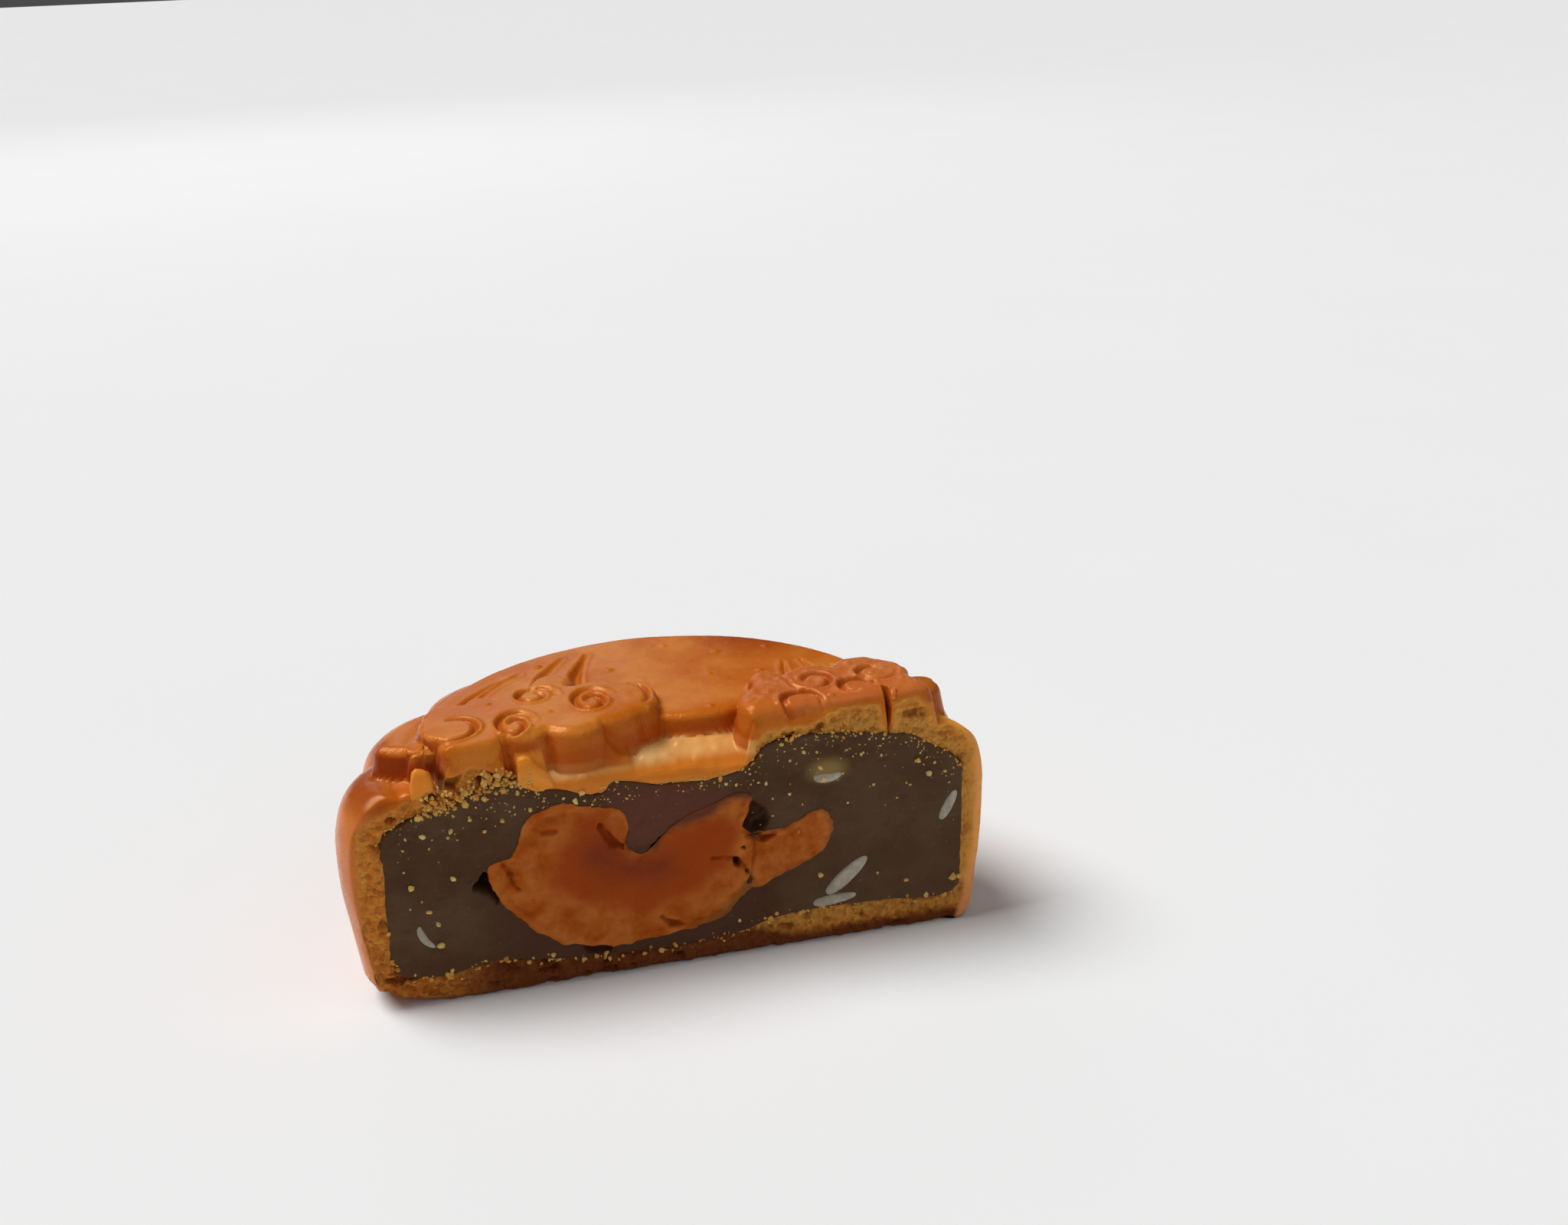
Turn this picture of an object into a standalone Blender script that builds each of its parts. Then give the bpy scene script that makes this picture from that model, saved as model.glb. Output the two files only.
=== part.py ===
# Half of a baked pandan lotus mooncake, cut through its salted egg yolk.
# A scalloped crust with a moon and two scrolled clouds on top holds the lotus paste, and the paste holds
# the yolk. The cut face looks along -Y, the base rests on z = 0 and the bounding box is centred on the
# origin in x and y. Every length below is in millimetres, and add_object turns them into metres.
import math

import bpy
import bmesh
from mathutils import Vector

MM = 0.001
GAP = 0.3                       # clearance between pieces that touch

# The scalloped wall
LOBE_COUNT = 16
LOBE_STEP = math.tau / LOBE_COUNT
NOTCH_ANGLE = math.radians(4.5)  # direction of the first notch, measured from +X
LOBE_FULLNESS = 2.3              # exponent of the bulge between two notches
COLUMNS_PER_LOBE = 8
CUT_OFFSET = 2.05                # the knife passed this far in front of the disc's axis

# Heights of the moulded top
FLOOR_Z = 28.3
PLATFORM_Z = 31.5
CLOUD_Z = 33.3
TAIL_Z = 31.8
BAR_Z = 30.9
ABOVE = 40.0                     # higher than everything, for cutters

PLATFORM_RADIUS = 30.4
MOON = (5.4, 16.2, 13.3)         # centre x, centre y, radius

# Rings of the outer surface: lobe crest radius, notch radius, height
WALL_RINGS = [
    (36.4, 34.9, 0.0),
    (37.7, 36.0, 0.9),
    (38.8, 36.9, 4.0),
    (39.8, 37.6, 12.0),
    (40.0, 37.7, 20.0),
    (39.4, 36.9, 24.2),
    (38.2, 35.6, 26.3),
    (36.2, 33.7, 27.5),
    (33.4, 32.0, 28.1),
    (PLATFORM_RADIUS + 0.3, PLATFORM_RADIUS + 0.3, 28.2),
    (PLATFORM_RADIUS, PLATFORM_RADIUS, 30.9),
    (PLATFORM_RADIUS - 0.7, PLATFORM_RADIUS - 0.7, PLATFORM_Z),
]

# Rings of the filling: radius, height
FILLING_CENTRE_X = 1.2
FILLING_SEGMENTS = 72
FILLING_RINGS = [
    (14.0, 2.9),
    (32.6, 4.3),
    (35.3, 6.0),
    (35.9, 10.5),
    (35.9, 20.3),
    (34.4, 23.2),
    (31.4, 25.5),
    (28.4, 27.2),
    (20.0, 28.5),
]
FILLING_BOTTOM_TO = 6.1          # rings below this height are part of its bottom
FILLING_TOP_FROM = 22.0          # rings above this height are part of its top
DIP_Z = 25.7                     # the filling is pressed down to here below the recess
DIP_LEFT = -15.6
DIP_RIGHT = 10.6
DIP_BACK = 7.6
DIP_FRONT = -50.0                # in front of everything
DIP_CORNER = 3.0

# Clouds: circles (x, y, radius) whose union, filled towards a middle point, is the outline
LEFT_CLOUD_MIDDLE = (-15.0, 5.5)
LEFT_CLOUD = [
    (-6.9, 6.9, 6.4), (-10.5, 2.9, 4.2), (-17.0, 3.2, 4.2), (-14.8, 9.1, 4.9), (-23.2, 5.7, 5.7),
    (-23.0, 0.2, 4.4), (-11.8, 14.3, 2.8), (-21.0, 11.1, 1.9), (-25.4, 8.7, 2.8), (-16.8, 12.0, 2.0),
]
RIGHT_CLOUD_MIDDLE = (21.0, 2.5)
RIGHT_CLOUD = [
    (14.8, -0.3, 5.6), (19.9, 4.9, 4.7), (26.8, 5.2, 5.3), (24.3, 0.2, 3.7), (29.3, 0.7, 2.8),
    (14.3, 7.7, 2.0), (14.3, 5.5, 2.2), (19.2, -2.2, 3.0),
]
CLOUD_POINTS = 96
CLOUD_CHAMFER = 0.6
CLOUD_FOOT_Z = 27.3              # hidden inside the crust
TAIL_FOOT_Z = 25.7
BAR_FOOT_Z = 27.3
RELIEF_DRAFT = 0.3               # the foot of a tail or bar is this much wider on each side
GROOVE_DRAFT = -0.35             # the foot of a groove is this much narrower on each side
THINNEST_FOOT = 0.08             # half the width of the narrowest foot
GROOVE_DEEP_Z = 28.9             # a sweeping groove's floor beside the cloud and at its tip
GROOVE_SHALLOW_Z = 31.0
NOTCH_DEEP_Z = 28.7
NOTCH_SHALLOW_Z = 28.9

# Scroll grooves: centre x, centre y, start angle in degrees, turns (positive is anticlockwise),
# outer radius, inner radius
SCROLLS = [
    (-23.8, 4.3, -160, 0.72, 3.5, 2.2),
    (-14.4, 9.3, 60, -1.2, 3.0, 0.9),
    (-17.4, 2.9, -110, -0.95, 3.5, 1.0),
    (-7.7, 6.0, -105, -1.0, 4.0, 0.9),
    (16.4, -1.1, -40, 1.0, 3.0, 0.9),
    (19.6, 4.5, 160, 1.1, 3.1, 0.9),
    (27.6, 4.7, 0, -1.0, 3.0, 0.9),
    (24.1, 1.0, -20, 0.86, 2.4, 1.3),
]
SCROLL_GROOVE_RADIUS = 0.6
SCROLL_TIP_WIDTH = 0.55          # share of the groove's radius left where it starts and ends
SCROLL_TIGHTENING = 1.6          # exponent with which the radius shrinks along the groove
SCROLL_STEPS_PER_TURN = 16
SCROLL_SIDES = 6
SCROLL_LIFT = 0.07               # the groove's middle line lies this much above the cloud

# Tapered strokes: (x, y, width) along the middle line
SWEEPING_GROOVES = [
    [(-23.9, 11.5, 2.3), (-23.2, 14.3, 1.9), (-20.7, 18.9, 1.1), (-16.0, 22.5, 0.7), (-12.7, 24.0, 0.3)],
    [(-19.5, 12.6, 2.1), (-17.9, 16.3, 1.3), (-16.0, 18.7, 1.0), (-13.6, 21.1, 0.7), (-11.3, 22.9, 0.3)],
    [(-15.1, 12.6, 1.7), (-13.9, 17.8, 1.3), (-12.2, 20.2, 0.9), (-9.1, 23.2, 0.3)],
    [(-8.4, 13.0, 1.1), (-8.9, 17.9, 2.3), (-7.8, 20.3, 1.4), (-5.9, 23.3, 0.3)],
    [(17.9, 8.6, 2.3), (18.1, 12.2, 1.3), (18.7, 15.5, 0.3)],
    [(21.7, 8.6, 2.0), (21.5, 12.2, 1.2), (21.0, 15.2, 0.3)],
]
LEFT_TAIL = [(-27.0, 2.6, 5.2), (-30.4, 2.0, 3.6), (-32.3, 2.7, 2.8), (-33.7, 4.0, 2.1), (-34.4, 5.6, 0.9)]
RIGHT_TAIL = [(29.0, 5.2, 6.0), (32.4, 6.7, 5.0), (34.4, 8.1, 3.2)]
RECESS_BARS = [
    [(-17.3, 0.5, 2.1), (-15.4, -6.0, 2.1)],
    [(-8.6, 1.0, 3.0), (-3.4, -4.2, 2.6)],
]
NOTCH_IN_RIGHT_CLOUD = [(27.5, -6.0, 1.1), (27.5, -1.0, 1.0), (27.4, -0.2, 0.5)]

# The recess: its corners in front and at the left, and where the moon's edge closes it at the back
RECESS_FRONT = -8.0
RECESS_RIGHT = 14.0
RECESS_MOON_FROM = -4.0
RECESS_LEFT_SIDE = [(-10.0, 4.5), (-20.0, 1.2), (-27.7, 0.5), (-27.7, RECESS_FRONT)]

# The cut face, in x and z
YOLK_OUTLINE = [
    (-23.3, 17.2), (-19.6, 18.8), (-18.2, 21.9), (-14.9, 24.1), (-9.3, 22.6), (-5.9, 19.6), (-4.6, 16.3),
    (-2.0, 18.4), (3.0, 20.6), (8.0, 21.7), (8.3, 17.6), (8.5, 13.2), (8.5, 9.6), (6.4, 6.7), (2.0, 4.8),
    (-5.6, 4.3), (-13.4, 5.6), (-19.4, 9.6), (-22.0, 13.4),
]
YOLK_CENTRE = (-7.5, 12.6)
YOLK_DEPTH = 15.0
FRAGMENT_OUTLINE = [
    (9.4, 16.4), (13.6, 16.9), (18.3, 18.3), (19.6, 15.6), (16.6, 12.5), (12.6, 10.3), (9.6, 9.8),
    (9.3, 13.0),
]
FRAGMENT_CENTRE = (14.4, 14.2)
FRAGMENT_DEPTH = 6.0
SPAN_STEPS = 3                   # steps from one given point of a line or an outline to the next
DOME_RINGS = 6
POCKET_OVERRUN = 1.0             # a pocket's cutter starts this far in front of the cut

# Melon seeds that show at the cut: x, z, length, width, angle in degrees
SEEDS = [
    (35.0, 16.7, 4.7, 1.5, 61),
    (21.7, 9.0, 7.1, 2.1, 33),
    (20.3, 6.1, 6.0, 1.6, 6),
    (-30.7, 9.6, 3.4, 1.7, -52),
]
SEED_PROUD = 0.35
SEED_SEGMENTS = 8
SEED_RINGS = 5

# Hollows beside the yolk: x, z, half width, half height
HOLLOWS = [
    (-23.6, 14.7, 1.7, 2.7),
    (10.0, 19.2, 1.6, 2.4),
]
HOLLOW_DEPTH = 3.0
HOLLOW_SEGMENTS = 12
HOLLOW_RINGS = 8

# The corner of the base that broke off at the left end of the cut: (x, z) at the cut, and how far the
# wedge has moved outwards behind it
BROKEN_CORNER = [(-41.0, 7.4), (-41.0, -2.0), (-32.2, -2.0)]
BROKEN_CORNER_LENGTH = 9.0
BROKEN_CORNER_SHIFT = 5.0

KNIFE_SIZE = 120.0
MERGE_DISTANCE = 0.02
SLIVER_DISTANCE = 0.01
CRUST_SHARP_ANGLE = 40.0         # edges sharper than this stay sharp, in degrees
YOLK_SHARP_ANGLE = 50.0


def lobe_bulge(angle):
    """Height of the scallop at an angle: 0 in a notch and 1 on a crest."""
    phase = ((angle - NOTCH_ANGLE) / LOBE_STEP) % 1.0
    return 1.0 - abs(2.0 * phase - 1.0) ** LOBE_FULLNESS


def depth_behind_axis():
    """How far the wall reaches behind the disc's axis."""
    crest, notch, _ = max(WALL_RINGS)
    steps = 720
    reach = 0.0
    for i in range(steps):
        angle = math.pi * i / steps
        reach = max(reach, (notch + (crest - notch) * lobe_bulge(angle)) * math.sin(angle))
    return reach


# The disc's axis lies here, so that the bounding box, seeds included, is centred in y
AXIS_Y = (CUT_OFFSET + SEED_PROUD - depth_behind_axis()) / 2.0
CUT_Y = AXIS_Y - CUT_OFFSET


def clear_scene():
    for obj in list(bpy.data.objects):
        bpy.data.objects.remove(obj, do_unlink=True)


def add_object(name, vertices, faces):
    """Makes a closed mesh object from millimetre points, its faces turned outwards."""
    mesh = bpy.data.meshes.new(name)
    mesh.from_pydata([(x * MM, y * MM, z * MM) for x, y, z in vertices], [], faces)
    bm = bmesh.new()
    bm.from_mesh(mesh)
    bmesh.ops.recalc_face_normals(bm, faces=bm.faces)
    bm.to_mesh(mesh)
    bm.free()
    obj = bpy.data.objects.new(name, mesh)
    bpy.context.scene.collection.objects.link(obj)
    return obj


def loft(name, rings, cap_start=None, cap_end=None):
    """Joins closed rings of equal count, each end closed by one face or by a fan to a point."""
    vertices = [point for ring in rings for point in ring]
    count = len(rings[0])
    faces = []
    for r in range(len(rings) - 1):
        low = r * count
        high = low + count
        for i in range(count):
            j = (i + 1) % count
            faces.append((low + i, low + j, high + j, high + i))
    for cap, start in ((cap_start, 0), (cap_end, (len(rings) - 1) * count)):
        if cap is None:
            faces.append(tuple(range(start, start + count)))
            continue
        vertices.append(cap)
        tip = len(vertices) - 1
        for i in range(count):
            faces.append((start + i, start + (i + 1) % count, tip))
    return add_object(name, vertices, faces)


def boolean(target, cutter, operation):
    """Applies one Boolean to the target and removes the cutter."""
    modifier = target.modifiers.new("cut", 'BOOLEAN')
    modifier.operation = operation
    modifier.object = cutter
    depsgraph = bpy.context.evaluated_depsgraph_get()
    result = bpy.data.meshes.new_from_object(target.evaluated_get(depsgraph))
    target.modifiers.clear()
    target.data = result
    bpy.data.objects.remove(cutter, do_unlink=True)


def tidy_mesh(obj):
    """Merges points that all but touch and drops the slivers that leaves."""
    bm = bmesh.new()
    bm.from_mesh(obj.data)
    bmesh.ops.remove_doubles(bm, verts=bm.verts, dist=MERGE_DISTANCE * MM)
    bmesh.ops.dissolve_degenerate(bm, edges=bm.edges, dist=SLIVER_DISTANCE * MM)
    bm.to_mesh(obj.data)
    bm.free()


def prism(name, outline, bottom, top):
    low = [(x, y + AXIS_Y, bottom) for x, y in outline]
    high = [(x, y + AXIS_Y, top) for x, y in outline]
    return loft(name, [low, high])


def cloud_outline(middle, circles, shrink=0.0):
    """The far side of the circles as seen from the middle point, one point for each direction."""
    outline = []
    for i in range(CLOUD_POINTS):
        angle = math.tau * i / CLOUD_POINTS
        dx = math.cos(angle)
        dy = math.sin(angle)
        reach = 0.0
        for x, y, radius in circles:
            along = (x - middle[0]) * dx + (y - middle[1]) * dy
            across = (x - middle[0]) * dy - (y - middle[1]) * dx
            half_chord = (radius - shrink) ** 2 - across ** 2
            if half_chord > 0.0:
                reach = max(reach, along + math.sqrt(half_chord))
        outline.append((middle[0] + reach * dx, middle[1] + reach * dy))
    return outline


def cloud(name, middle, circles):
    """A cloud with a chamfered top edge, standing in the platform."""
    wide = cloud_outline(middle, circles)
    narrow = cloud_outline(middle, circles, CLOUD_CHAMFER)
    rings = []
    for outline, z in ((wide, CLOUD_FOOT_Z), (wide, CLOUD_Z - CLOUD_CHAMFER), (narrow, CLOUD_Z)):
        rings.append([(x, y + AXIS_Y, z) for x, y in outline])
    return loft(name, rings)


def stroke(name, line, bottom_start, bottom_end, top, draft):
    """A tapered bar along a line of (x, y, width) points. Its foot differs in width by the draft."""
    dense = []
    for a, b in zip(line, line[1:]):
        for s in range(SPAN_STEPS):
            t = s / SPAN_STEPS
            dense.append(tuple(p + (q - p) * t for p, q in zip(a, b)))
    dense.append(line[-1])
    rings = []
    for i, (x, y, width) in enumerate(dense):
        before = dense[max(i - 1, 0)]
        after = dense[min(i + 1, len(dense) - 1)]
        direction = Vector((after[0] - before[0], after[1] - before[1])).normalized()
        side = Vector((-direction.y, direction.x))
        bottom = bottom_start + (bottom_end - bottom_start) * i / (len(dense) - 1)
        foot = max(width / 2.0 + draft, THINNEST_FOOT)
        head = width / 2.0
        rings.append([
            (x - side.x * foot, y - side.y * foot + AXIS_Y, bottom),
            (x + side.x * foot, y + side.y * foot + AXIS_Y, bottom),
            (x + side.x * head, y + side.y * head + AXIS_Y, top),
            (x - side.x * head, y - side.y * head + AXIS_Y, top),
        ])
    return loft(name, rings)


def spiral_groove(name, x, y, start, turns, outer, inner):
    """A tube that follows a spiral in the plane of the cloud's top, thinner towards both its ends."""
    steps = round(SCROLL_STEPS_PER_TURN * abs(turns))
    rings = []
    for i in range(steps + 1):
        t = i / steps
        angle = math.radians(start) + math.tau * turns * t
        radius = outer + (inner - outer) * t ** SCROLL_TIGHTENING
        ahead = angle + math.copysign(math.pi / 2.0, turns)
        side = Vector((-math.sin(ahead), math.cos(ahead)))
        swell = math.sqrt(abs(math.sin(math.pi * t)))
        width = SCROLL_GROOVE_RADIUS * (SCROLL_TIP_WIDTH + (1.0 - SCROLL_TIP_WIDTH) * swell)
        ring = []
        for k in range(SCROLL_SIDES):
            turn = math.tau * (k + 0.5) / SCROLL_SIDES
            across = width * math.cos(turn)
            up = width * math.sin(turn)
            ring.append((
                x + radius * math.cos(angle) + side.x * across,
                y + radius * math.sin(angle) + side.y * across + AXIS_Y,
                CLOUD_Z + SCROLL_LIFT + up,
            ))
        rings.append(ring)
    return loft(name, rings)


def outer_body():
    """The whole scalloped disc with its round platform, before the relief and the cut."""
    columns = LOBE_COUNT * COLUMNS_PER_LOBE
    rings = []
    for crest, notch, z in WALL_RINGS:
        ring = []
        for i in range(columns):
            angle = NOTCH_ANGLE + math.tau * i / columns
            radius = notch + (crest - notch) * lobe_bulge(angle)
            ring.append((radius * math.cos(angle), radius * math.sin(angle) + AXIS_Y, z))
        rings.append(ring)
    return loft("crust", rings)


def recess_outline():
    """The sunken floor between the clouds, with the moon's edge as its back."""
    moon_x, moon_y, moon_radius = MOON
    outline = [(RECESS_RIGHT, RECESS_FRONT)]
    steps = 20
    for i in range(steps + 1):
        x = RECESS_RIGHT + (RECESS_MOON_FROM - RECESS_RIGHT) * i / steps
        outline.append((x, moon_y - math.sqrt(moon_radius ** 2 - (x - moon_x) ** 2)))
    return outline + RECESS_LEFT_SIDE


def filling_body(name, gap):
    """The room for the paste inside the crust, made smaller all round by the gap."""
    rings = []
    for radius, z in FILLING_RINGS:
        lift = gap if z < FILLING_BOTTOM_TO else (-gap if z > FILLING_TOP_FROM else 0.0)
        ring = []
        for i in range(FILLING_SEGMENTS):
            angle = math.tau * (i + 0.5) / FILLING_SEGMENTS
            ring.append((
                FILLING_CENTRE_X + (radius - gap) * math.cos(angle),
                (radius - gap) * math.sin(angle) + AXIS_Y,
                z + lift,
            ))
        rings.append(ring)
    body = loft(name, rings)
    dip = [
        (DIP_LEFT - gap, DIP_FRONT),
        (DIP_RIGHT + gap, DIP_FRONT),
        (DIP_RIGHT + gap, DIP_BACK - DIP_CORNER),
        (DIP_RIGHT - DIP_CORNER, DIP_BACK + gap),
        (DIP_LEFT + DIP_CORNER, DIP_BACK + gap),
        (DIP_LEFT - gap, DIP_BACK - DIP_CORNER),
    ]
    boolean(body, prism("dip", dip, DIP_Z - gap, ABOVE), 'DIFFERENCE')
    return body


def smooth_outline(points):
    """A closed Catmull-Rom curve through the points."""
    count = len(points)
    dense = []
    for i in range(count):
        p0, p1, p2, p3 = (points[(i + k - 1) % count] for k in range(4))
        for s in range(SPAN_STEPS):
            t = s / SPAN_STEPS
            dense.append(tuple(
                0.5 * (2 * b + (c - a) * t + (2 * a - 5 * b + 4 * c - d) * t * t
                       + (3 * b - a - 3 * c + d) * t ** 3)
                for a, b, c, d in zip(p0, p1, p2, p3)
            ))
    return dense


def dome(name, outline, centre, depth, gap=0.0):
    """A lump with a flat cut face of the given outline and a round back. With a gap it is its pocket."""
    grown = []
    for x, z in smooth_outline(outline):
        away = Vector((x - centre[0], z - centre[1]))
        grown.append(away + away.normalized() * gap)
    rings = []
    if gap > 0.0:
        rings.append([(centre[0] + p.x, CUT_Y - POCKET_OVERRUN, centre[1] + p.y) for p in grown])
    for r in range(DOME_RINGS):
        turn = math.pi / 2.0 * r / DOME_RINGS
        y = CUT_Y + (depth + gap) * math.sin(turn)
        scale = math.cos(turn)
        rings.append([(centre[0] + p.x * scale, y, centre[1] + p.y * scale) for p in grown])
    return loft(name, rings, cap_end=(centre[0], CUT_Y + depth + gap, centre[1]))


def ellipsoid(name, x, y, z, half_length, half_depth, half_width, tilt, segments, ring_count):
    """An ellipsoid whose long axis lies in the cut plane, turned by the tilt."""
    along = Vector((math.cos(tilt), 0.0, math.sin(tilt)))
    across = Vector((-math.sin(tilt), 0.0, math.cos(tilt)))
    middle = Vector((x, y, z))
    rings = []
    for r in range(1, ring_count):
        turn = math.pi * r / ring_count
        ring = []
        for i in range(segments):
            angle = math.tau * (i + 0.5) / segments
            point = middle - along * half_length * math.cos(turn)
            point = point + across * half_width * math.sin(turn) * math.cos(angle)
            point = point + Vector((0.0, half_depth * math.sin(turn) * math.sin(angle), 0.0))
            ring.append(tuple(point))
        rings.append(ring)
    start = tuple(middle - along * half_length)
    end = tuple(middle + along * half_length)
    return loft(name, rings, cap_start=start, cap_end=end)


def cut_in_half(obj):
    """Takes away what lay in front of the knife."""
    x = KNIFE_SIZE / 2.0
    outline = [(-x, -KNIFE_SIZE), (x, -KNIFE_SIZE), (x, -CUT_OFFSET), (-x, -CUT_OFFSET)]
    boolean(obj, prism("knife", outline, -KNIFE_SIZE / 2.0, KNIFE_SIZE / 2.0), 'DIFFERENCE')


def broken_corner():
    """A wedge that trims the lower left corner and runs out behind the cut."""
    rings = []
    front = CUT_Y - POCKET_OVERRUN
    for y, shift in ((front, 0.0), (CUT_Y + BROKEN_CORNER_LENGTH, BROKEN_CORNER_SHIFT)):
        rings.append([(x - shift, y, z) for x, z in BROKEN_CORNER])
    return loft("corner", rings)


def material(name, colour, roughness):
    result = bpy.data.materials.new(name)
    result.use_nodes = True
    shader = result.node_tree.nodes["Principled BSDF"]
    shader.inputs["Base Color"].default_value = (*colour, 1.0)
    shader.inputs["Roughness"].default_value = roughness
    shader.inputs["Metallic"].default_value = 0.0
    return result


def finish(obj, finish_material, sharp_angle):
    """Gives the object its material and smooth shading between sharp edges."""
    tidy_mesh(obj)
    obj.data.materials.clear()
    obj.data.materials.append(finish_material)
    obj.data.shade_smooth()
    obj.data.set_sharp_from_angle(angle=math.radians(sharp_angle))


def make_crust():
    crust = outer_body()
    boolean(crust, prism("recess", recess_outline(), FLOOR_Z, ABOVE), 'DIFFERENCE')
    for line in SWEEPING_GROOVES:
        groove = stroke("groove", line, GROOVE_DEEP_Z, GROOVE_SHALLOW_Z, ABOVE, GROOVE_DRAFT)
        boolean(crust, groove, 'DIFFERENCE')
    for line in RECESS_BARS:
        boolean(crust, stroke("bar", line, BAR_FOOT_Z, BAR_FOOT_Z, BAR_Z, RELIEF_DRAFT), 'UNION')
    for line in (LEFT_TAIL, RIGHT_TAIL):
        boolean(crust, stroke("tail", line, TAIL_FOOT_Z, TAIL_FOOT_Z, TAIL_Z, RELIEF_DRAFT), 'UNION')
    boolean(crust, cloud("cloud", LEFT_CLOUD_MIDDLE, LEFT_CLOUD), 'UNION')
    boolean(crust, cloud("cloud", RIGHT_CLOUD_MIDDLE, RIGHT_CLOUD), 'UNION')
    notch = stroke("notch", NOTCH_IN_RIGHT_CLOUD, NOTCH_DEEP_Z, NOTCH_SHALLOW_Z, ABOVE, 0.0)
    boolean(crust, notch, 'DIFFERENCE')
    for scroll in SCROLLS:
        boolean(crust, spiral_groove("scroll", *scroll), 'DIFFERENCE')
    boolean(crust, filling_body("filling", 0.0), 'DIFFERENCE')
    boolean(crust, broken_corner(), 'DIFFERENCE')
    cut_in_half(crust)
    crust.name = "crust"
    finish(crust, material("baked_crust", (0.50, 0.17, 0.05), 0.35), 40)


def make_paste():
    paste = filling_body("lotus_paste", GAP)
    cut_in_half(paste)
    for x, z, length, width, angle in SEEDS:
        seed = ellipsoid(
            "seed", x, CUT_Y + SEED_PROUD, z, length / 2.0, 2.0 * SEED_PROUD, width / 2.0,
            math.radians(angle), SEED_SEGMENTS, SEED_RINGS,
        )
        boolean(paste, seed, 'UNION')
    boolean(paste, dome("pocket", YOLK_OUTLINE, YOLK_CENTRE, YOLK_DEPTH, GAP), 'DIFFERENCE')
    boolean(paste, dome("pocket", FRAGMENT_OUTLINE, FRAGMENT_CENTRE, FRAGMENT_DEPTH, GAP), 'DIFFERENCE')
    for x, z, half_width, half_height in HOLLOWS:
        pit = ellipsoid(
            "pit", x, CUT_Y, z, half_height, HOLLOW_DEPTH, half_width, math.pi / 2.0,
            HOLLOW_SEGMENTS, HOLLOW_RINGS,
        )
        boolean(paste, pit, 'DIFFERENCE')
    paste.name = "lotus_paste"
    finish(paste, material("lotus_paste", (0.085, 0.055, 0.035), 0.5), 40)


def make_yolks():
    yolk_material = material("egg_yolk", (0.45, 0.13, 0.03), 0.55)
    yolk = dome("egg_yolk", YOLK_OUTLINE, YOLK_CENTRE, YOLK_DEPTH)
    finish(yolk, yolk_material, 50)
    fragment = dome("yolk_fragment", FRAGMENT_OUTLINE, FRAGMENT_CENTRE, FRAGMENT_DEPTH)
    finish(fragment, yolk_material, 50)


def main():
    clear_scene()
    make_crust()
    make_paste()
    make_yolks()


main()
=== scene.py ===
import math

import bmesh
import bpy
import numpy as np
from mathutils import Matrix, Vector


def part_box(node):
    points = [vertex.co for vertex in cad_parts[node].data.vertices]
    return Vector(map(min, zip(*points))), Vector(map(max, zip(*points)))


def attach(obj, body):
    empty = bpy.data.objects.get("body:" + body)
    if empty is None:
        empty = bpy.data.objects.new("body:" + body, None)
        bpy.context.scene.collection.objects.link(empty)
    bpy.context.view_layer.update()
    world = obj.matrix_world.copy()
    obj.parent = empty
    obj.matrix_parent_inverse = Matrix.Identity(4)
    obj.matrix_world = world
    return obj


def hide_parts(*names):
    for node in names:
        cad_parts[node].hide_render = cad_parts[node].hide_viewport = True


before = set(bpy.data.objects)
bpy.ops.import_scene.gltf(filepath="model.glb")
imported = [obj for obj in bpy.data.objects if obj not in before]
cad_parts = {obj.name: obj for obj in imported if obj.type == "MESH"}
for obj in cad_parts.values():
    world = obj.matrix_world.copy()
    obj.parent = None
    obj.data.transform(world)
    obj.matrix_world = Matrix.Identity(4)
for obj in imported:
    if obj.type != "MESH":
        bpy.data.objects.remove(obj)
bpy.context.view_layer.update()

cake = {
    "mm": 0.001,
    "cutOffset": 2.05,         # the knife passed this far in front of the axis
    "cutY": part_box("crust")[0].y * 1000.0,
}
axisY = cake["cutY"] + cake["cutOffset"]
rng = np.random.default_rng(15)


def hashed(ix, iy, iz, seed):
    # a repeatable number from 0 to 1 for each whole-number cell
    n = (ix * 374761393 + iy * 668265263 + iz * 1440662683 + seed * 1274126177) & 0xFFFFFFFF
    n = ((n ^ (n >> 13)) * 1274126177) & 0xFFFFFFFF
    n = ((n ^ (n >> 16)) * 668265263) & 0xFFFFFFFF
    return ((n ^ (n >> 15)) & 0xFFFFFF) / 16777215.0


def noise(p, size, seed=0):
    # smooth noise from -1 to 1: the eight hashed corners of a cell, blended by the eased place in it
    q = p / size + 512.0
    cell = np.floor(q).astype(np.int64)
    f = q - cell
    f = f * f * (3.0 - 2.0 * f)
    total = 0.0
    for corner in range(8):
        d = np.array([corner & 1, corner >> 1 & 1, corner >> 2 & 1])
        weight = np.prod(np.where(d == 1, f, 1.0 - f), axis=-1)
        total = total + weight * hashed(*np.moveaxis(cell + d, -1, 0), seed)
    return total * 2.0 - 1.0


def layeredNoise(p, size, layers=3, seed=0):
    # noise summed over layers, each half the size and half the height of the one before
    total = 0.0
    for k in range(layers):
        total = total + noise(p, size / 2 ** k, seed + k) * 0.5 ** k
    return total / (2.0 - 0.5 ** (layers - 1))


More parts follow.
